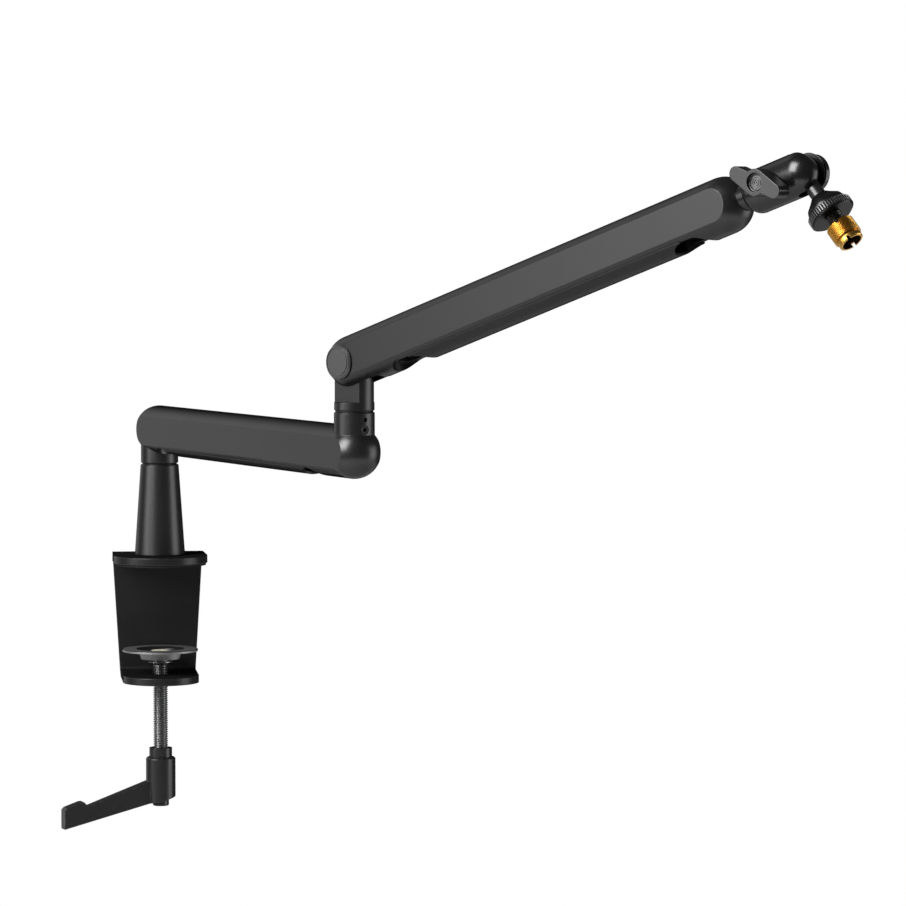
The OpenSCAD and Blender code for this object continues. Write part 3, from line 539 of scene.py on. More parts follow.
class Effects:
    """Shader node groups that several finishes share, each built once."""

    SLOW_SHARE = 0.012  # scale of the slow change of tone, as a share of the grain's
    EDGE_MATCH = (0.995, 0.86)  # agreement of true and rounded normal: no wear, full wear
    WORN_SPAN = (0.45, 0.7)  # noise over which the wear comes in

    def __init__(self) -> None:
        """Builds every group."""
        self.grain = self._grain()
        self.wear = self._wear()
        self.smudges = self._smudges()

    @staticmethod
    def _group(name: str, inputs: dict[str, float], outputs: Sequence[str]) -> tuple[
            NodeSheet, bpy.types.NodeOutputs, bpy.types.NodeInputs]:
        """Makes an empty group with its sockets.

        Args:
            name: name of the group.
            inputs: starting values by socket name.
            outputs: names of the value outputs.

        Returns:
            The sheet, what comes into the group and what leaves it.
        """
        tree = bpy.data.node_groups.new(name, "ShaderNodeTree")
        for socket, value in inputs.items():
            made = tree.interface.new_socket(name=socket, in_out="INPUT",
                                             socket_type="NodeSocketFloat")
            made.default_value = value
        for socket in outputs:
            tree.interface.new_socket(name=socket, in_out="OUTPUT", socket_type="NodeSocketFloat")
        sheet = NodeSheet(tree)
        return sheet, sheet.add("NodeGroupInput").outputs, sheet.add("NodeGroupOutput").inputs

    def _grain(self) -> bpy.types.NodeTree:
        """Fine grain of a coat or a moulding: its height and a slow change of tone.

        Returns:
            The group.
        """
        sheet, start, end = self._group("Surface grain", {"Scale": 2500.0, "Detail": 2.0},
                                        ("Height", "Tone"))
        slow_scale = sheet.math("MULTIPLY", start["Scale"], self.SLOW_SHARE)
        sheet.feed(end["Height"], sheet.noise(start["Scale"], start["Detail"], in_Roughness=0.55))
        sheet.feed(end["Tone"], sheet.noise(slow_scale, 3.0))
        return sheet.tree

    def _wear(self) -> bpy.types.NodeTree:
        """Mask of the edges that hands and desks rub, broken up by noise.

        Returns:
            The group.
        """
        sheet, start, end = self._group(
            "Edge wear", {"Width": 0.0006, "Amount": 0.5, "Scale": 400.0}, ("Mask",))
        rounded = sheet.add("ShaderNodeBevel", samples=4, in_Radius=start["Width"])
        true = sheet.add("ShaderNodeNewGeometry").outputs["Normal"]
        match = sheet.add("ShaderNodeVectorMath", operation="DOT_PRODUCT",
                          in_0=rounded.outputs[0], in_1=true)
        edge = sheet.ramp(match.outputs["Value"], self.EDGE_MATCH)
        worn = sheet.ramp(sheet.noise(start["Scale"], 4.0), self.WORN_SPAN)
        broken = sheet.math("MULTIPLY", edge, worn)
        sheet.feed(end["Mask"], sheet.math("MULTIPLY", broken, start["Amount"], clamp=True))
        return sheet.tree

    def _smudges(self) -> bpy.types.NodeTree:
        """Faint handling marks that change the gloss.

        Returns:
            The group.
        """
        sheet, start, end = self._group("Handling marks", {"Scale": 22.0, "Amount": 0.06},
                                        ("Shift",))
        broad = sheet.noise(start["Scale"], 5.0, in_Distortion=0.6)
        centred = sheet.math("SUBTRACT", broad, 0.5)
        sheet.feed(end["Shift"], sheet.math("MULTIPLY", centred, start["Amount"]))
        return sheet.tree


@dataclass(frozen=True)
class Finish:
    """One finish of the arm: its colours, gloss and surface detail. Sizes are in metres."""

    TONE_SPAN: ClassVar[Point2] = (0.35, 0.65)  # slow noise that leads from colour to tone
    GRAIN_SPAN: ClassVar[Point2] = (0.3, 0.7)  # height of the grain that changes the gloss
    GLOSS_SHIFT: ClassVar[Point2] = (-0.03, 0.03)  # what it adds to the roughness
    SHEEN_SPAN: ClassVar[Point2] = (0.12, 0.85)  # facing over which the specular level fades
    WEAR_SPREAD: ClassVar[float] = 1.5  # width of the worn edge, in edge radii
    BUMP_HEIGHT: ClassVar[float] = 0.0002  # height of the grain at full strength

    name: str
    colour: Point3
    tone: Point3
    roughness: float
    metallic: float = 0.0
    grain_scale: float = 2500.0
    grain_depth: float = 0.05
    edge_radius: float = 0.0004
    wear: float = 0.0
    wear_colour: Point3 = (0.3, 0.3, 0.3)
    specular: float = 0.75

    def material(self, effects: Effects) -> bpy.types.Material:
        """Makes the finish's material.

        Args:
            effects: the shared shader groups.

        Returns:
            The material.
        """
        made = bpy.data.materials.new(self.name)
        made.use_nodes = True
        sheet = NodeSheet(made.node_tree)
        shader = made.node_tree.nodes["Principled BSDF"].inputs
        grain = sheet.add("ShaderNodeGroup", node_tree=effects.grain,
                          in_Scale=self.grain_scale).outputs
        marks = sheet.add("ShaderNodeGroup", node_tree=effects.smudges).outputs["Shift"]
        colour = sheet.blend(sheet.ramp(grain["Tone"], self.TONE_SPAN), self.colour, self.tone)
        if self.wear > 0:
            edges = sheet.add("ShaderNodeGroup", node_tree=effects.wear, in_Amount=self.wear,
                              in_Width=self.edge_radius * self.WEAR_SPREAD)
            colour = sheet.blend(edges.outputs["Mask"], colour, self.wear_colour)
        rough = sheet.math("ADD", sheet.math("ADD", marks, self.roughness),
                           sheet.ramp(grain["Height"], self.GRAIN_SPAN, self.GLOSS_SHIFT))
        facing = sheet.add("ShaderNodeLayerWeight", in_Blend=0.5).outputs["Facing"]
        sheen = sheet.ramp(facing, self.SHEEN_SPAN, (self.specular, 0.0))
        rounded = sheet.add("ShaderNodeBevel", samples=6, in_Radius=self.edge_radius)
        bump = sheet.add("ShaderNodeBump", in_Strength=self.grain_depth,
                         in_Distance=self.BUMP_HEIGHT, in_Height=grain["Height"],
                         in_Normal=rounded.outputs[0])
        shader["Metallic"].default_value = self.metallic
        for name, output in (("Base Color", colour), ("Roughness", rough),
                             ("Specular IOR Level", sheen), ("Normal", bump.outputs[0])):
            sheet.feed(shader[name], output)
        return made


SATIN_BLACK = Finish("satin black coat", (0.009, 0.009, 0.0094), (0.008, 0.008, 0.0084), 0.33,
                     grain_scale=1500, grain_depth=0.08, edge_radius=0.0003, wear=0.12,
                     specular=0.85)
CAP_BLACK = Finish("turned black cap", (0.046, 0.046, 0.0465), (0.042, 0.042, 0.0425), 0.33,
                   grain_scale=1500, grain_depth=0.06, edge_radius=0.00012, wear=0.2, specular=1.0)
HEAD_BLACK = Finish("semi-gloss black coat", (0.004, 0.004, 0.0042), (0.0035, 0.0035, 0.0037),
                    0.27, grain_scale=1800, edge_radius=0.0003, wear=0.1, specular=0.85)
WING_BLACK = Finish("satin black wing", (0.02, 0.02, 0.0205), (0.018, 0.018, 0.0185), 0.33,
                    grain_scale=1500, grain_depth=0.06, edge_radius=0.00015, wear=0.3,
                    specular=0.85)
RING_BLACK = Finish("knurled black ring", (0.006, 0.006, 0.0063), (0.005, 0.005, 0.0053), 0.26,
                    grain_scale=1800, grain_depth=0.04, edge_radius=0.00006, wear=0.3,
                    specular=0.45)
# Painted light and shade on the lock ring: a lighter black on the rib tops as painted highlight, a
# near-black in the grooves as painted shade.
RIB_PAINTED_LIGHT = Finish("black rib with painted light", (0.05, 0.05, 0.0505), (0.045, 0.045, 0.0455), 0.3,
                   grain_depth=0.04, edge_radius=0.00004, specular=1.0)
GROOVE_PAINTED_SHADE = Finish("shaded groove", (0.003, 0.003, 0.003), (0.002, 0.002, 0.002), 0.5,
                grain_depth=0.04, edge_radius=0.00004, specular=0.1)
CLAMP_BLACK = Finish("black coated plate", (0.012, 0.012, 0.0125), (0.0105, 0.0105, 0.011), 0.34,
                     grain_scale=1600, grain_depth=0.08, edge_radius=0.0009, wear=0.15,
                     specular=0.5)
LEVER_BLACK = Finish("textured black coat", (0.009, 0.009, 0.0094), (0.008, 0.008, 0.0084), 0.33,
                     grain_scale=1300, grain_depth=0.14, edge_radius=0.0006, wear=0.45,
                     specular=0.8)
MOULDED = Finish("moulded black plastic", (0.015, 0.015, 0.0155), (0.013, 0.013, 0.0135), 0.42,
                 grain_scale=900, grain_depth=0.15, edge_radius=0.0003, specular=0.5)
RUBBER = Finish("black rubber", (0.012, 0.012, 0.012), (0.015, 0.015, 0.015), 0.8,
                grain_scale=700, grain_depth=0.3, specular=0.3)
PAD_ZINC = Finish("blasted zinc", (0.36, 0.36, 0.36), (0.30, 0.30, 0.30), 0.5, metallic=1.0,
                  grain_scale=1300, grain_depth=0.35, edge_radius=0.0003)
PLATED = Finish("zinc plated steel", (0.34, 0.34, 0.35), (0.30, 0.30, 0.31), 0.32, metallic=1.0,
                grain_scale=1500, grain_depth=0.08, edge_radius=0.0002)
THREAD_STEEL = Finish("dark threaded steel", (0.31, 0.31, 0.315), (0.27, 0.27, 0.275), 0.34,
                      metallic=1.0, grain_scale=1500, edge_radius=0.0001)
# Steel screw nub whose pale, warm diffuse colour is a painted highlight that stands in for its
# reflection.
STEEL_PAINTED_HIGHLIGHT = Finish("bright turned steel", (0.9, 0.88, 0.72), (0.86, 0.84, 0.68), 0.25, metallic=0.3,
                grain_depth=0.04)
SCREW_FACE = Finish("dark turned face", (0.014, 0.014, 0.0145), (0.012, 0.012, 0.0125), 0.3,
                    grain_depth=0.04, edge_radius=0.00005, specular=0.85)
TURNED_RING = Finish("bright turned ring", (0.17, 0.17, 0.17), (0.14, 0.14, 0.14), 0.35,
                     metallic=1.0, grain_depth=0.04, edge_radius=0.00005)
# Painted shade: a near-black finish for the inside of the pressure pad's dish, where little light
# reaches.
DISH_PAINTED_SHADE = Finish("painted shade in dish", (0.014, 0.014, 0.0145), (0.011, 0.011, 0.0115), 0.45,
              grain_scale=1300, grain_depth=0.1, edge_radius=0.0001, specular=0.3)
# Painted shade: a dark brown finish for the adapter's bore and mouth, where the inside thread lies
# in shade.
BORE_PAINTED_SHADE = Finish("shaded inside thread", (0.02, 0.012, 0.004), (0.015, 0.009, 0.003), 0.5,
              grain_depth=0.04, edge_radius=0.0001, specular=0.3)
DARK_STEEL = Finish("black oxide steel", (0.014, 0.014, 0.0145), (0.018, 0.018, 0.0185), 0.3,
                    grain_depth=0.06, edge_radius=0.0002, wear=0.15)
BRASS = Finish("turned brass", (0.66, 0.385, 0.08), (0.6, 0.33, 0.06), 0.3, metallic=1.0,
               grain_depth=0.04, edge_radius=0.00008)


class Dresser:
    """Gives carried-over nodes their finish, and new pieces their finish and their body."""

    def __init__(self, effects: Effects) -> None:
        """Starts with no materials made."""
        self.effects = effects
        self.made: dict[str, bpy.types.Material] = {}

    def material(self, finish: Finish) -> bpy.types.Material:
        """Makes a finish's material, or finds it again.

        Args:
            finish: the finish.

        Returns:
            Its material.
        """
        if finish.name not in self.made:
            self.made[finish.name] = finish.material(self.effects)
        return self.made[finish.name]

    def paint(self, piece: Piece, *finishes: Finish) -> None:
        """Gives a piece its finishes, and each face the one that it is marked for.

        Args:
            piece: the piece.
            *finishes: its finishes, the one of unmarked faces first.
        """
        marked = [face.material_index for face in piece.data.polygons]
        piece.data.materials.clear()
        for finish in finishes:
            piece.data.materials.append(self.material(finish))
        for face, index in zip(piece.data.polygons, marked):
            face.material_index = min(index, len(finishes) - 1)

    def node(self, name: str, finish: Finish) -> None:
        """Gives a carried-over node its finish."""
        self.paint(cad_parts[name], finish)
        log.info("node %s: %s", name, finish.name)

    def inside(self, name: str, finish: Finish, below: float, slope: float = 0.05) -> None:
        """Gives the faces that look up from inside a node another finish, which paints shade
        there.

        Args:
            name: name of the node.
            finish: the other finish, a darker one that paints the shade.
            below: height that the faces lie under, in metres.
            slope: the upward part of their normals is larger than this.
        """
        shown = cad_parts[name]
        shown.data.materials.append(self.material(finish))
        for face in shown.data.polygons:
            centre = shown.matrix_world @ face.center
            if face.normal.z > slope and centre.z < below:
                face.material_index = 1

    def stand_in(self, piece: Piece, body: str, slot: str, finish: Finish,
                 *nodes: str, marked: Sequence[Finish] = ()) -> None:
        """Dresses a new piece and lets it stand for its nodes.

        Args:
            piece: the new piece.
            body: the body it rides on.
            slot: not used.
            finish: its finish.
            *nodes: the nodes it stands for.
            marked: finishes of the faces that MeshShop.mark numbered from one up.
        """
        self.paint(piece, finish, *marked)
        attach(piece, body)
        if nodes:
            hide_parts(*nodes)
        log.info("piece %s rides on %s", piece.name, body)


@dataclass
class SubAssembly:
    """A group of pieces: the pose it stands in, and the finishes of its carried-over nodes."""

    pose: ArmPose
    nodes: dict[str, Finish] = field(default_factory=dict)

    def build(self, dresser: Dresser) -> None:
        """Dresses the carried-over nodes, then shapes the other pieces.

        Args:
            dresser: gives the finishes and bodies.
        """
        for name, finish in self.nodes.items():
            dresser.node(name, finish)
        self.shape(dresser)

    def shape(self, dresser: Dresser) -> None:
        """Shapes nothing where every piece is a carried-over node."""


@dataclass
class DeskClamp(SubAssembly):
    """Bent clamp plate with its rubber pad, the post bolt, and the riser post with its bush."""

    nodes: dict[str, Finish] = field(default_factory=lambda: {
        "clamp_frame": CLAMP_BLACK, "jaw_pad": RUBBER, "post_bolt": DARK_STEEL,
        "riser_post": SATIN_BLACK, "post_bushing": MOULDED})


@dataclass
class ClampScrew(SubAssembly):
    """Threaded clamp screw with its pressure pad and the parts that hold it."""

    radius: float = 5.0
    depth: float = 0.9
    pitch: float = 1.5
    lead: float = 0.8
    top: float = -66.64
    foot: float = -133.0
    pad_face: float = -56.65
    # the pad's head screw gets a pale colour as painted highlight
    nodes: dict[str, Finish] = field(default_factory=lambda: {
        "pressure_pad": PAD_ZINC, "pad_washer": PLATED, "pad_head_screw": STEEL_PAINTED_HIGHLIGHT,
        "lever_end_screw": DARK_STEEL})

    def shape(self, dresser: Dresser) -> None:
        """Paints shade into the pad's dish with a near-black finish, and cuts the screw's thread.

        Args:
            dresser: gives the finishes and bodies.
        """
        # painted shade: the dish's upward faces below the pad's face get the near-black finish
        dresser.inside("pressure_pad", DISH_PAINTED_SHADE, self.pad_face * MM)
        rows = MeshShop.threaded(self.foot, self.top - self.lead, self.radius, self.depth,
                                 self.pitch)
        rows.append(Station(self.top, self.radius - self.lead))
        form = MeshShop.sleeve(rows, (), MeshShop.columns(), self.pitch, Profile.METRIC)
        screw = MeshShop.place("clamp_screw_thread", form, Matrix.Identity(4), smooth=30)
        dresser.stand_in(screw, "screw", "zinc_steel", THREAD_STEEL, "clamp_screw")


@dataclass
class IndexingLever(SubAssembly):
    """Toothed insert, the lever that lifts off it, and the spring that pulls it back."""

    lift: float = 4.5
    wire: float = 1.1
    turns: int = 4
    edge: float = 0.5
    edge_steps: int = 2
    edge_angle: float = 50.0
    nodes: dict[str, Finish] = field(default_factory=lambda: {
        "clamp_lever": LEVER_BLACK, "lever_insert": DARK_STEEL})

    def shape(self, dresser: Dresser) -> None:
        """Rounds the lever and winds the spring.

        Args:
            dresser: gives the finishes and bodies.
        """
        MeshShop.soften(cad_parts["clamp_lever"], self.edge, self.edge_steps, self.edge_angle)
        low, high = (Vector(corner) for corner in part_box("lever_spring"))
        form = MeshShop.coil(high.x / MM, self.wire, low.z / MM, high.z / MM, self.turns)
        spring = MeshShop.place("lever_spring_coil", form, Matrix.Identity(4), smooth=40)
        dresser.stand_in(spring, "screw", "zinc_steel", PLATED, "lever_spring")
        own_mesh(spring)


@dataclass
class LowerArm(SubAssembly):
    """Lower arm with its collars, cable cover and set screws."""

    nodes: dict[str, Finish] = field(default_factory=lambda: {
        "lower_arm": SATIN_BLACK, "lower_cable_cover": MOULDED, "base_spindle": PLATED,
        "elbow_bushing": MOULDED, "tension_set_screw": DARK_STEEL, "lock_set_screw": DARK_STEEL})


@dataclass
class Elbow(SubAssembly):
    """Knuckle that swivels in the elbow collar, with its spindle."""

    nodes: dict[str, Finish] = field(default_factory=lambda: {
        "elbow_knuckle": SATIN_BLACK, "elbow_spindle": PLATED})


@dataclass
class UpperArm(SubAssembly):
    """Upper arm with its cable cover, caps, tilt pin and what the pin holds."""

    nodes: dict[str, Finish] = field(default_factory=lambda: {
        "upper_arm": SATIN_BLACK, "upper_cable_cover": MOULDED, "near_pin_cap": CAP_BLACK,
        "far_pin_cap": CAP_BLACK, "tilt_pin": PLATED, "tilt_nut": PLATED, "disc_springs": PLATED,
        "friction_washers": MOULDED, "neck_snap_ring": PLATED})


@dataclass
class Head(SubAssembly):
    """Neck, barrel with its socket cap and brake shoe, wing and wing screw."""

    boss: float = 7.4
    tip: float = 4.0
    reach: float = 14.2
    back: float = 13.0
    front: float = 22.0
    recess: float = 5.1
    recess_depth: float = 1.8
    edge: float = 0.35
    tool_overrun: float = 1.0
    screw_gap: float = 0.02
    screw_radius: float = 3.0
    screw_foot: float = -4.5
    screw_chamfer: float = 1.2
    head_radius: float = 4.25
    head_foot: float = 14.52
    head_top: float = 20.1
    ring_radii: tuple[float, ...] = (3.95, 2.75, 1.55)
    ring_width: float = 0.38
    ring_depth: float = 0.35
    pip_foot: float = 0.5
    pip_top: float = 0.3
    nodes: dict[str, Finish] = field(default_factory=lambda: {
        "head_neck": HEAD_BLACK, "head_barrel": HEAD_BLACK, "socket_cap": HEAD_BLACK,
        "brake_shoe": BRASS})

    @property
    def ring_floor(self) -> float:
        """Height of the face that the turned rings stand on."""
        return self.head_top - self.ring_depth

    def wing_outline(self, steps: int = 14) -> list[Point2]:
        """Outline of the wing: two round tips, each with one side that is a tangent to the boss.

        Args:
            steps: straight pieces in each arc.

        Returns:
            The outline's corners, anticlockwise.
        """
        lean = math.acos((self.boss - self.tip) / self.reach)
        corner = math.pi - math.asin(self.tip / self.boss)
        arcs = ((self.reach, self.tip, -math.pi / 2, lean), (0.0, self.boss, lean, corner))
        points = []
        for side in (0.0, math.pi):
            for centre, radius, first, last in arcs:
                for step in range(steps + 1):
                    angle = first + (last - first) * step / steps
                    x = centre + radius * math.cos(angle)
                    y = radius * math.sin(angle)
                    points.append((x * math.cos(side) - y * math.sin(side),
                                   x * math.sin(side) + y * math.cos(side)))
        return points

    def screw_profile(self) -> list[Point2]:
        """Profile of the wing screw, with turned rings and a pip in its round head.

        Returns:
            The (radius, height) corners, from the foot up.
        """
        foot, floor, top = self.screw_foot, self.ring_floor, self.head_top
        points = [(0.0, foot), (self.screw_radius - self.screw_chamfer, foot),
                  (self.screw_radius, foot + self.screw_chamfer),
                  (self.screw_radius, self.head_foot), (self.head_radius, self.head_foot),
                  (self.head_radius, floor)]
        for ring in self.ring_radii:
            for share, height in ((1 / 2, floor), (1 / 4, top), (-1 / 4, top), (-1 / 2, floor)):
                points.append((ring + self.ring_width * share, height))
        return points + [(self.pip_foot, floor), (self.pip_top, top), (0.0, top)]

    def on_ring(self, radius: float, height: float) -> bool:
        """Says whether a corner of the wing screw lies on one of its turned rings or its pip."""
        near = any(abs(radius - ring) < self.ring_width / 2 + TOUCH for ring in self.ring_radii)
        return height > self.ring_floor - TOUCH and (near or radius < self.pip_foot + TOUCH)

    def shape(self, dresser: Dresser) -> None:
        """Shapes the wing, with a seat for its screw, and the screw.

        Args:
            dresser: gives the finishes and bodies.
        """
        where = self.pose.wing()
        blank = MeshShop.slab(self.wing_outline(), self.back, self.front)
        wing = MeshShop.place("wing_grip", blank, where)
        low, high = self.back - self.tool_overrun, self.front + self.tool_overrun
        shaft, seat = self.screw_radius + self.screw_gap, self.head_radius + self.screw_gap
        ledge, floor = self.head_foot - self.screw_gap, self.front - self.recess_depth
        tool = MeshShop.turned([(0, low), (shaft, low), (shaft, ledge), (seat, ledge),
                                (seat, floor), (self.recess, floor), (self.recess, high),
                                (0, high)])
        MeshShop.cut(wing, MeshShop.place("recess tool", tool, where))
        MeshShop.soften(wing, self.edge)
        dresser.stand_in(wing, "wing", "gloss_black", WING_BLACK, "wing_handle")
        form = MeshShop.mark(MeshShop.turned(self.screw_profile()), self.on_ring)
        screw = MeshShop.place("ringed_wing_screw", form, where, smooth=30)
        dresser.stand_in(screw, "brake_screw", "zinc_steel", SCREW_FACE, "wing_screw",
                         marked=(TURNED_RING,))


@dataclass
class MicrophoneStud(SubAssembly):
    """Ball stud with its lock ring and the brass adapter, measured from the ball along the stem.

    rim_foot and rim_face hold corners of the ring's rim: how far each stands back from the rim's
    radius, and how far it lies past the rim's foot or before its face.
    """

    ball: float = 9.2
    ball_steps: int = 24
    stem: float = 4.25
    stem_overlap: float = 1.0
    ring_start: float = 17.5
    ring_height: float = 13.9
    ring_radius: float = 13.09
    hub_radius: float = 10.5
    hub_rise: float = 5.0
    hub_lip: float = 0.6
    hub_waist: Point2 = (0.72, 0.45)
    rim_height: float = 5.0
    rim_foot: tuple[Point2, ...] = ((1.25, -0.55), (1.25, 0), (0.9, 0.05), (0.05, 0.45), (0, 0.6))
    rim_face: tuple[Point2, ...] = ((0, 1.0), (0.1, 0.85), (0.9, 0.5), (1.3, 0))
    ribs: int = 52
    rib_steps: int = 8
    rib_depth: float = 0.8
    rib_ends: Point2 = (0.5, 0.8)
    thread_gap: float = 0.05
    stud_radius: float = 4.7625
    stud_depth: float = 0.9
    stud_pitch: float = 1.5875
    stud_end: float = 44.5
    root_chamfer: float = 0.5
    tip_chamfer: float = 0.8
    adapter_gap: float = 5.6
    adapter_length: float = 12.99
    adapter_radius: float = 7.9375
    adapter_depth: float = 0.5
    adapter_pitch: float = 0.9407
    adapter_turn: float = 60.0
    adapter_chamfer: float = 0.8
    wall_rise: float = 0.05
    collar_length: float = 3.0
    collar_drop: float = 1.01
    collar_chamfer: float = 0.5
    groove_width: float = 0.7
    groove_depth: float = 0.4
    groove_bevel: float = 0.25
    slot_width: float = 1.8
    slot_depth: float = 2.2
    slot_steps: int = 3
    relief: float = 0.35
    mouth_radius: float = 5.6
    mouth_depth: float = 2.8

    @property
    def ring_end(self) -> float:
        """Distance of the lock ring's flat face from the ball."""
        return self.ring_start + self.ring_height

    @property
    def bore(self) -> float:
        """Radius of the bores that the stud's thread runs in."""
        return self.stud_radius + self.thread_gap

    def rim_reach(self, step: int, radius: float) -> float:
        """Radius of one corner of the lock ring, cut back between the ribs of its rim.

        Args:
            step: step round the ring.
            radius: radius of the corner on a rib.

        Returns:
            The radius at that step.
        """
        between = step % self.rib_steps >= self.rib_steps // 2
        on_rim = radius > self.ring_radius - self.rib_depth / 2
        return radius - self.rib_depth if between and on_rim else radius

    def rib_part(self, radius: float, height: float) -> int:
        """Says where a corner of the lock ring lies.

        Args:
            radius: its radius.
            height: its height.

        Returns:
            1 on a rib, which gets painted light, 2 in a groove, which gets painted shade, 0
            elsewhere.
        """
        low = self.ring_end - self.rim_height + self.rib_ends[0]
        if not low < height < self.ring_end - self.rib_ends[1]:
            return 0
        return 2 if radius < self.ring_radius - self.rib_depth / 2 else 1

    def lock_ring(self, where: Matrix) -> Piece:
        """Makes the lock ring: a conical hub, a ribbed rim and a flat face.

        Args:
            where: the stud's frame.

        Returns:
            The ring.
        """
        start, end, r = self.ring_start, self.ring_end, self.ring_radius
        rim = end - self.rim_height
        waist, rise = self.hub_waist
        profile = [(self.bore, start), (self.bore + self.hub_lip, start),
                   (self.hub_radius * waist, start + self.hub_rise * rise),
                   (self.hub_radius, start + self.hub_rise)]
        profile += [(r - inset, rim + past) for inset, past in self.rim_foot]
        profile += [(r - inset, end - before) for inset, before in self.rim_face]
        profile.append((self.bore, end))
        form = MeshShop.turned(profile, self.ribs * self.rib_steps, self.rim_reach)
        # rib tops are marked for the painted light and grooves for the painted shade
        MeshShop.mark(form, self.rib_part)
        return MeshShop.place("knurled_lock_ring", form, where, smooth=28)

    def ball_stud(self, where: Matrix) -> Piece:
        """Makes the ball, its plain stem and the threaded end.

        Args:
            where: the stud's frame.

        Returns:
            The stud.
        """
        neck = math.asin(self.stem / self.ball)
        angles = (math.pi * step / self.ball_steps for step in range(self.ball_steps))
        body = [(self.ball * math.sin(angle), -self.ball * math.cos(angle))
                for angle in angles if angle < math.pi - neck]
        shoulder = self.ring_start + self.stem_overlap
        body += [(self.stem, self.ball * math.cos(neck)), (self.stem, shoulder), (0.0, shoulder)]
        ball = MeshShop.place("ball_and_stem", MeshShop.turned(body), where)
        start, end, r = self.ring_start, self.stud_end, self.stud_radius
        rows = [Station(start, r - self.root_chamfer)]
        rows += MeshShop.threaded(start + self.root_chamfer, end - self.tip_chamfer, r,
                                  self.stud_depth, self.stud_pitch)
        rows.append(Station(end, r - self.tip_chamfer))
        form = MeshShop.sleeve(rows, (), MeshShop.columns(), self.stud_pitch, Profile.METRIC)
        return MeshShop.join(ball, MeshShop.place("stud thread", form, where, smooth=30))

    def slotted_columns(self, steps: int = 48) -> list[Column]:
        """Steps round the adapter, with a screwdriver slot across each end.

        Args:
            steps: steps in each half between the slots.

        Returns:
            The columns, with two at each wall of the slots.
        """
        outer = math.asin(self.slot_width / 2 / self.adapter_radius)
        inner = math.asin(self.slot_width / 2 / self.bore)
        first = math.radians(self.adapter_turn)
        columns = []
        for side in (first, first + math.pi):
            for step in range(-self.slot_steps, self.slot_steps + 1):
                columns.append(Column(side + outer * step / self.slot_steps,
                                      side + inner * step / self.slot_steps, self.slot_depth))
            for step in range(steps + 1):
                share = step / steps
                columns.append(Column(side + outer + (math.pi - 2 * outer) * share,
                                      side + inner + (math.pi - 2 * inner) * share))
        return columns

    def adapter(self, where: Matrix) -> Piece:
        """Makes the adapter: a fine outside thread, a groove, a plain collar and two slots.

        Args:
            where: the stud's frame.

        Returns:
            The adapter.
        """
        start = self.ring_end + self.adapter_gap
        end = start + self.adapter_length
        r, chamfer, wall = self.adapter_radius, self.adapter_chamfer, self.wall_rise
        groove = end - self.collar_length
        thread_end = groove - self.groove_width
        collar = r - self.collar_drop
        rows = [Station(start, r - chamfer), Station(start + wall, r - chamfer + wall)]
        rows += MeshShop.threaded(start + chamfer, thread_end, r, self.adapter_depth,
                                  self.adapter_pitch)
        rows += [Station(thread_end + wall, collar - self.groove_depth),
                 Station(groove - wall, collar - self.groove_depth),
                 Station(groove + self.groove_bevel, collar),
                 Station(end - self.collar_chamfer, collar),
                 Station(end, collar - self.collar_chamfer)]
        mouth = end - self.mouth_depth
        inside = [(self.bore, start), (self.bore, self.stud_end),
                  (self.bore + self.relief, self.stud_end), (self.bore + self.relief, mouth),
                  (self.mouth_radius, mouth), (self.mouth_radius, end)]
        form = MeshShop.sleeve(rows, inside, self.slotted_columns(), self.adapter_pitch,
                               Profile.PIPE)
        # the faces of the bore and the mouth are marked for the painted shade
        MeshShop.mark(form, lambda radius, height: radius < self.mouth_radius + TOUCH)
        return MeshShop.place("slotted_adapter", form, where, smooth=25)

    def shape(self, dresser: Dresser) -> None:
        """Shapes the lock ring, the stud and the adapter.

        Args:
            dresser: gives the finishes and bodies.
        """
        where = self.pose.stud()
        # the ring's ribs carry painted light and its grooves painted shade
        dresser.stand_in(self.lock_ring(where), "ring", "gloss_black", RING_BLACK, "lock_ring",
                         marked=(RIB_PAINTED_LIGHT, GROOVE_PAINTED_SHADE))
        dresser.stand_in(self.ball_stud(where), "stud", "dark_steel", DARK_STEEL, "ball_stud")
        dresser.stand_in(self.adapter(where), "adapter", "brass", BRASS, "thread_adapter",
                         marked=(BORE_PAINTED_SHADE,))


@dataclass(frozen=True)
class SoftBox:
    """A rectangular lamp: its place, width and height in metres, and its power in watts."""

    name: str
    place: Point3
    size: Point2
    power: float

    def stand(self, target: Point3) -> None:
        """Stands the lamp in the scene.

        Args:
            target: the point it faces, in metres.
        """
        data = bpy.data.lights.new(self.name, "AREA")
        data.shape = "RECTANGLE"
        data.size, data.size_y = self.size
        data.energy = self.power
        lamp = bpy.data.objects.new(self.name, data)
        lamp.location = self.place
        facing = Vector(target) - Vector(self.place)
        lamp.rotation_euler = facing.to_track_quat("-Z", "Y").to_euler()
        bpy.context.scene.collection.objects.link(lamp)


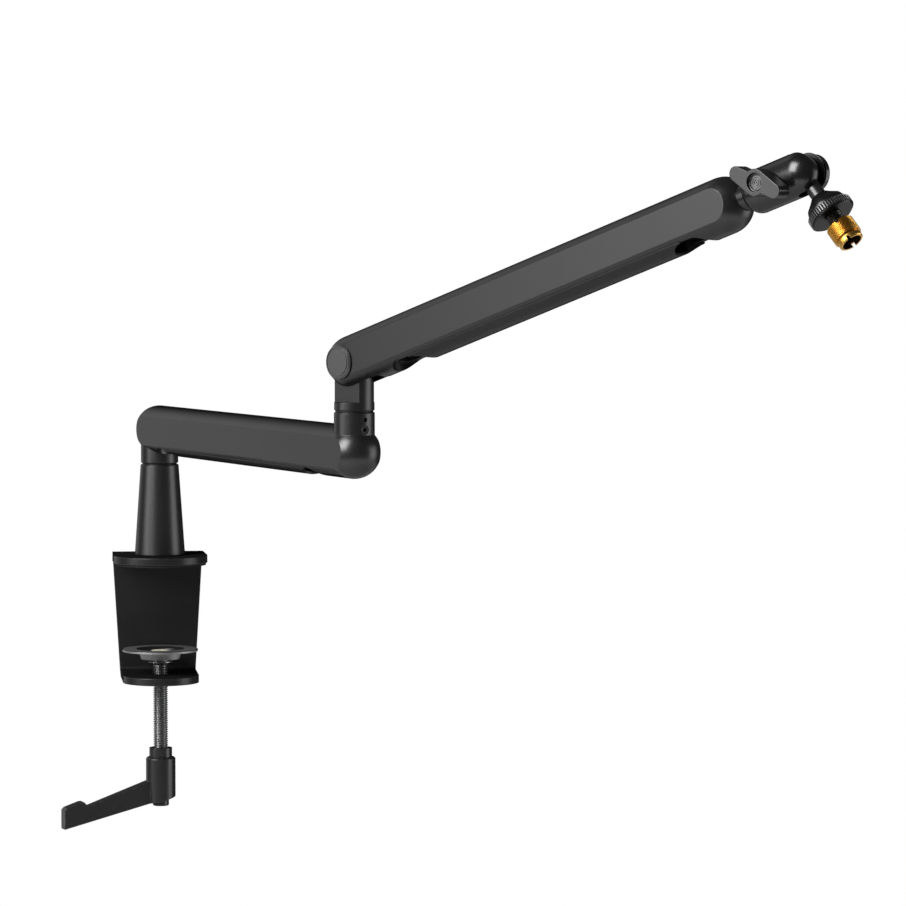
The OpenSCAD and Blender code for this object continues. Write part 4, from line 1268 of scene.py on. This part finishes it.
@dataclass
class Studio:
    """Camera, floor and soft lights. The eye is in millimetres, the other places in metres.

    floor_fade gives the distances over which the floor turns white. glow_back and glow_left give
    how far back and left the surroundings must lie to be white in reflections: not yet, fully.
    """

    eye: Point3 = (-138.38, -2730.95, 218.5)
    pitch: float = -3.03
    azimuth: float = -7.0
    lens: float = 162.91
    sensor: float = 36.0
    sight: float = 100.0
    floor_centre: Point3 = (0.15, -0.28, -0.72)
    floor_radius: float = 1.7
    floor_fade: Point2 = (0.7, 1.6)
    floor_colour: Point3 = (0.72, 0.72, 0.72)
    floor_roughness: float = 0.8
    ambient: float = 0.09
    glow_back: Point2 = (0.4, 0.95)
    glow_left: Point2 = (-0.1, -0.4)
    target: Point3 = (0.15, -0.3, 0.1)
    lamps: tuple[SoftBox, ...] = (
        SoftBox("left soft box", (-1.73, -1.32, 1.4), (1.6, 1.8), 90),
        SoftBox("left low soft box", (-2.1, -0.62, 0.3), (0.95, 1.2), 6.5),
        SoftBox("right soft box", (1.9, -0.5, 0.0), (1.1, 1.2), 9))

    def camera(self) -> None:
        """Sets the camera at the photograph's place."""
        data = bpy.data.cameras.new("photo camera")
        data.lens = self.lens
        data.sensor_width = self.sensor
        data.clip_end = self.sight
        camera = bpy.data.objects.new("photo camera", data)
        camera.location = Vector(self.eye) * MM
        camera.rotation_euler = (math.radians(90 + self.pitch), 0, math.radians(self.azimuth))
        bpy.context.scene.collection.objects.link(camera)
        bpy.context.scene.camera = camera

    def world(self) -> None:
        """Makes the surroundings: white for the camera and behind the arm, dimmer elsewhere."""
        world = bpy.data.worlds.new("white room")
        bpy.context.scene.world = world
        world.use_nodes = True
        sheet = NodeSheet(world.node_tree)
        background = world.node_tree.nodes["Background"].inputs
        background["Color"].default_value = (1, 1, 1, 1)
        path = sheet.add("ShaderNodeLightPath").outputs
        toward = sheet.add("ShaderNodeTexCoord").outputs["Generated"]
        parts = sheet.add("ShaderNodeSeparateXYZ", in_Vector=toward).outputs
        behind = sheet.math("MULTIPLY", sheet.ramp(parts["Y"], self.glow_back),
                            sheet.ramp(parts["X"], self.glow_left))
        shown = sheet.math("ADD", path["Is Glossy Ray"], path["Is Transmission Ray"])
        gloss = sheet.math("MULTIPLY", shown, behind)
        white = sheet.math("ADD", gloss, path["Is Camera Ray"], clamp=True)
        sheet.feed(background["Strength"], sheet.ramp(white, (0, 1), (self.ambient, 1.0)))

    def floor(self) -> None:
        """Lays a round pale floor far below, as under a desk, that turns white at its rim."""
        form = bmesh.new()
        bmesh.ops.create_circle(form, cap_ends=True, segments=96, radius=self.floor_radius / MM)
        where = Matrix.Translation(Vector(self.floor_centre) / MM)
        floor = MeshShop.place("floor", form, where)
        paper = bpy.data.materials.new("pale floor")
        paper.use_nodes = True
        sheet = NodeSheet(paper.node_tree)
        shader = paper.node_tree.nodes["Principled BSDF"]
        shader.inputs["Base Color"].default_value = (*self.floor_colour, 1)
        shader.inputs["Roughness"].default_value = self.floor_roughness
        away = sheet.add("ShaderNodeVectorMath", operation="DISTANCE", in_0=sheet.position(),
                         in_1=self.floor_centre)
        fade = sheet.ramp(away.outputs["Value"], self.floor_fade)
        glow = sheet.add("ShaderNodeEmission", in_Strength=1.0)
        mixed = sheet.add("ShaderNodeMixShader", in_0=fade, in_1=shader.outputs[0],
                          in_2=glow.outputs[0])
        output = paper.node_tree.nodes["Material Output"]
        sheet.feed(output.inputs["Surface"], mixed.outputs[0])
        floor.data.materials.append(paper)

    def build(self) -> None:
        """Builds the whole studio."""
        self.camera()
        self.world()
        self.floor()
        for lamp in self.lamps:
            lamp.stand(self.target)
        bpy.context.scene.view_settings.view_transform = "Standard"


def main() -> None:
    """Builds and dresses the arm from the clamp to the adapter, then the studio."""
    logging.basicConfig(level=logging.INFO, format="%(message)s")
    pose = ArmPose()
    dresser = Dresser(Effects())
    for part in (DeskClamp, ClampScrew, IndexingLever, LowerArm, Elbow, UpperArm, Head,
                 MicrophoneStud):
        part(pose).build(dresser)
        log.info("built %s", part.__name__)
    Studio().build()
    bpy.context.view_layer.update()


if __name__ == "__main__":
    main()
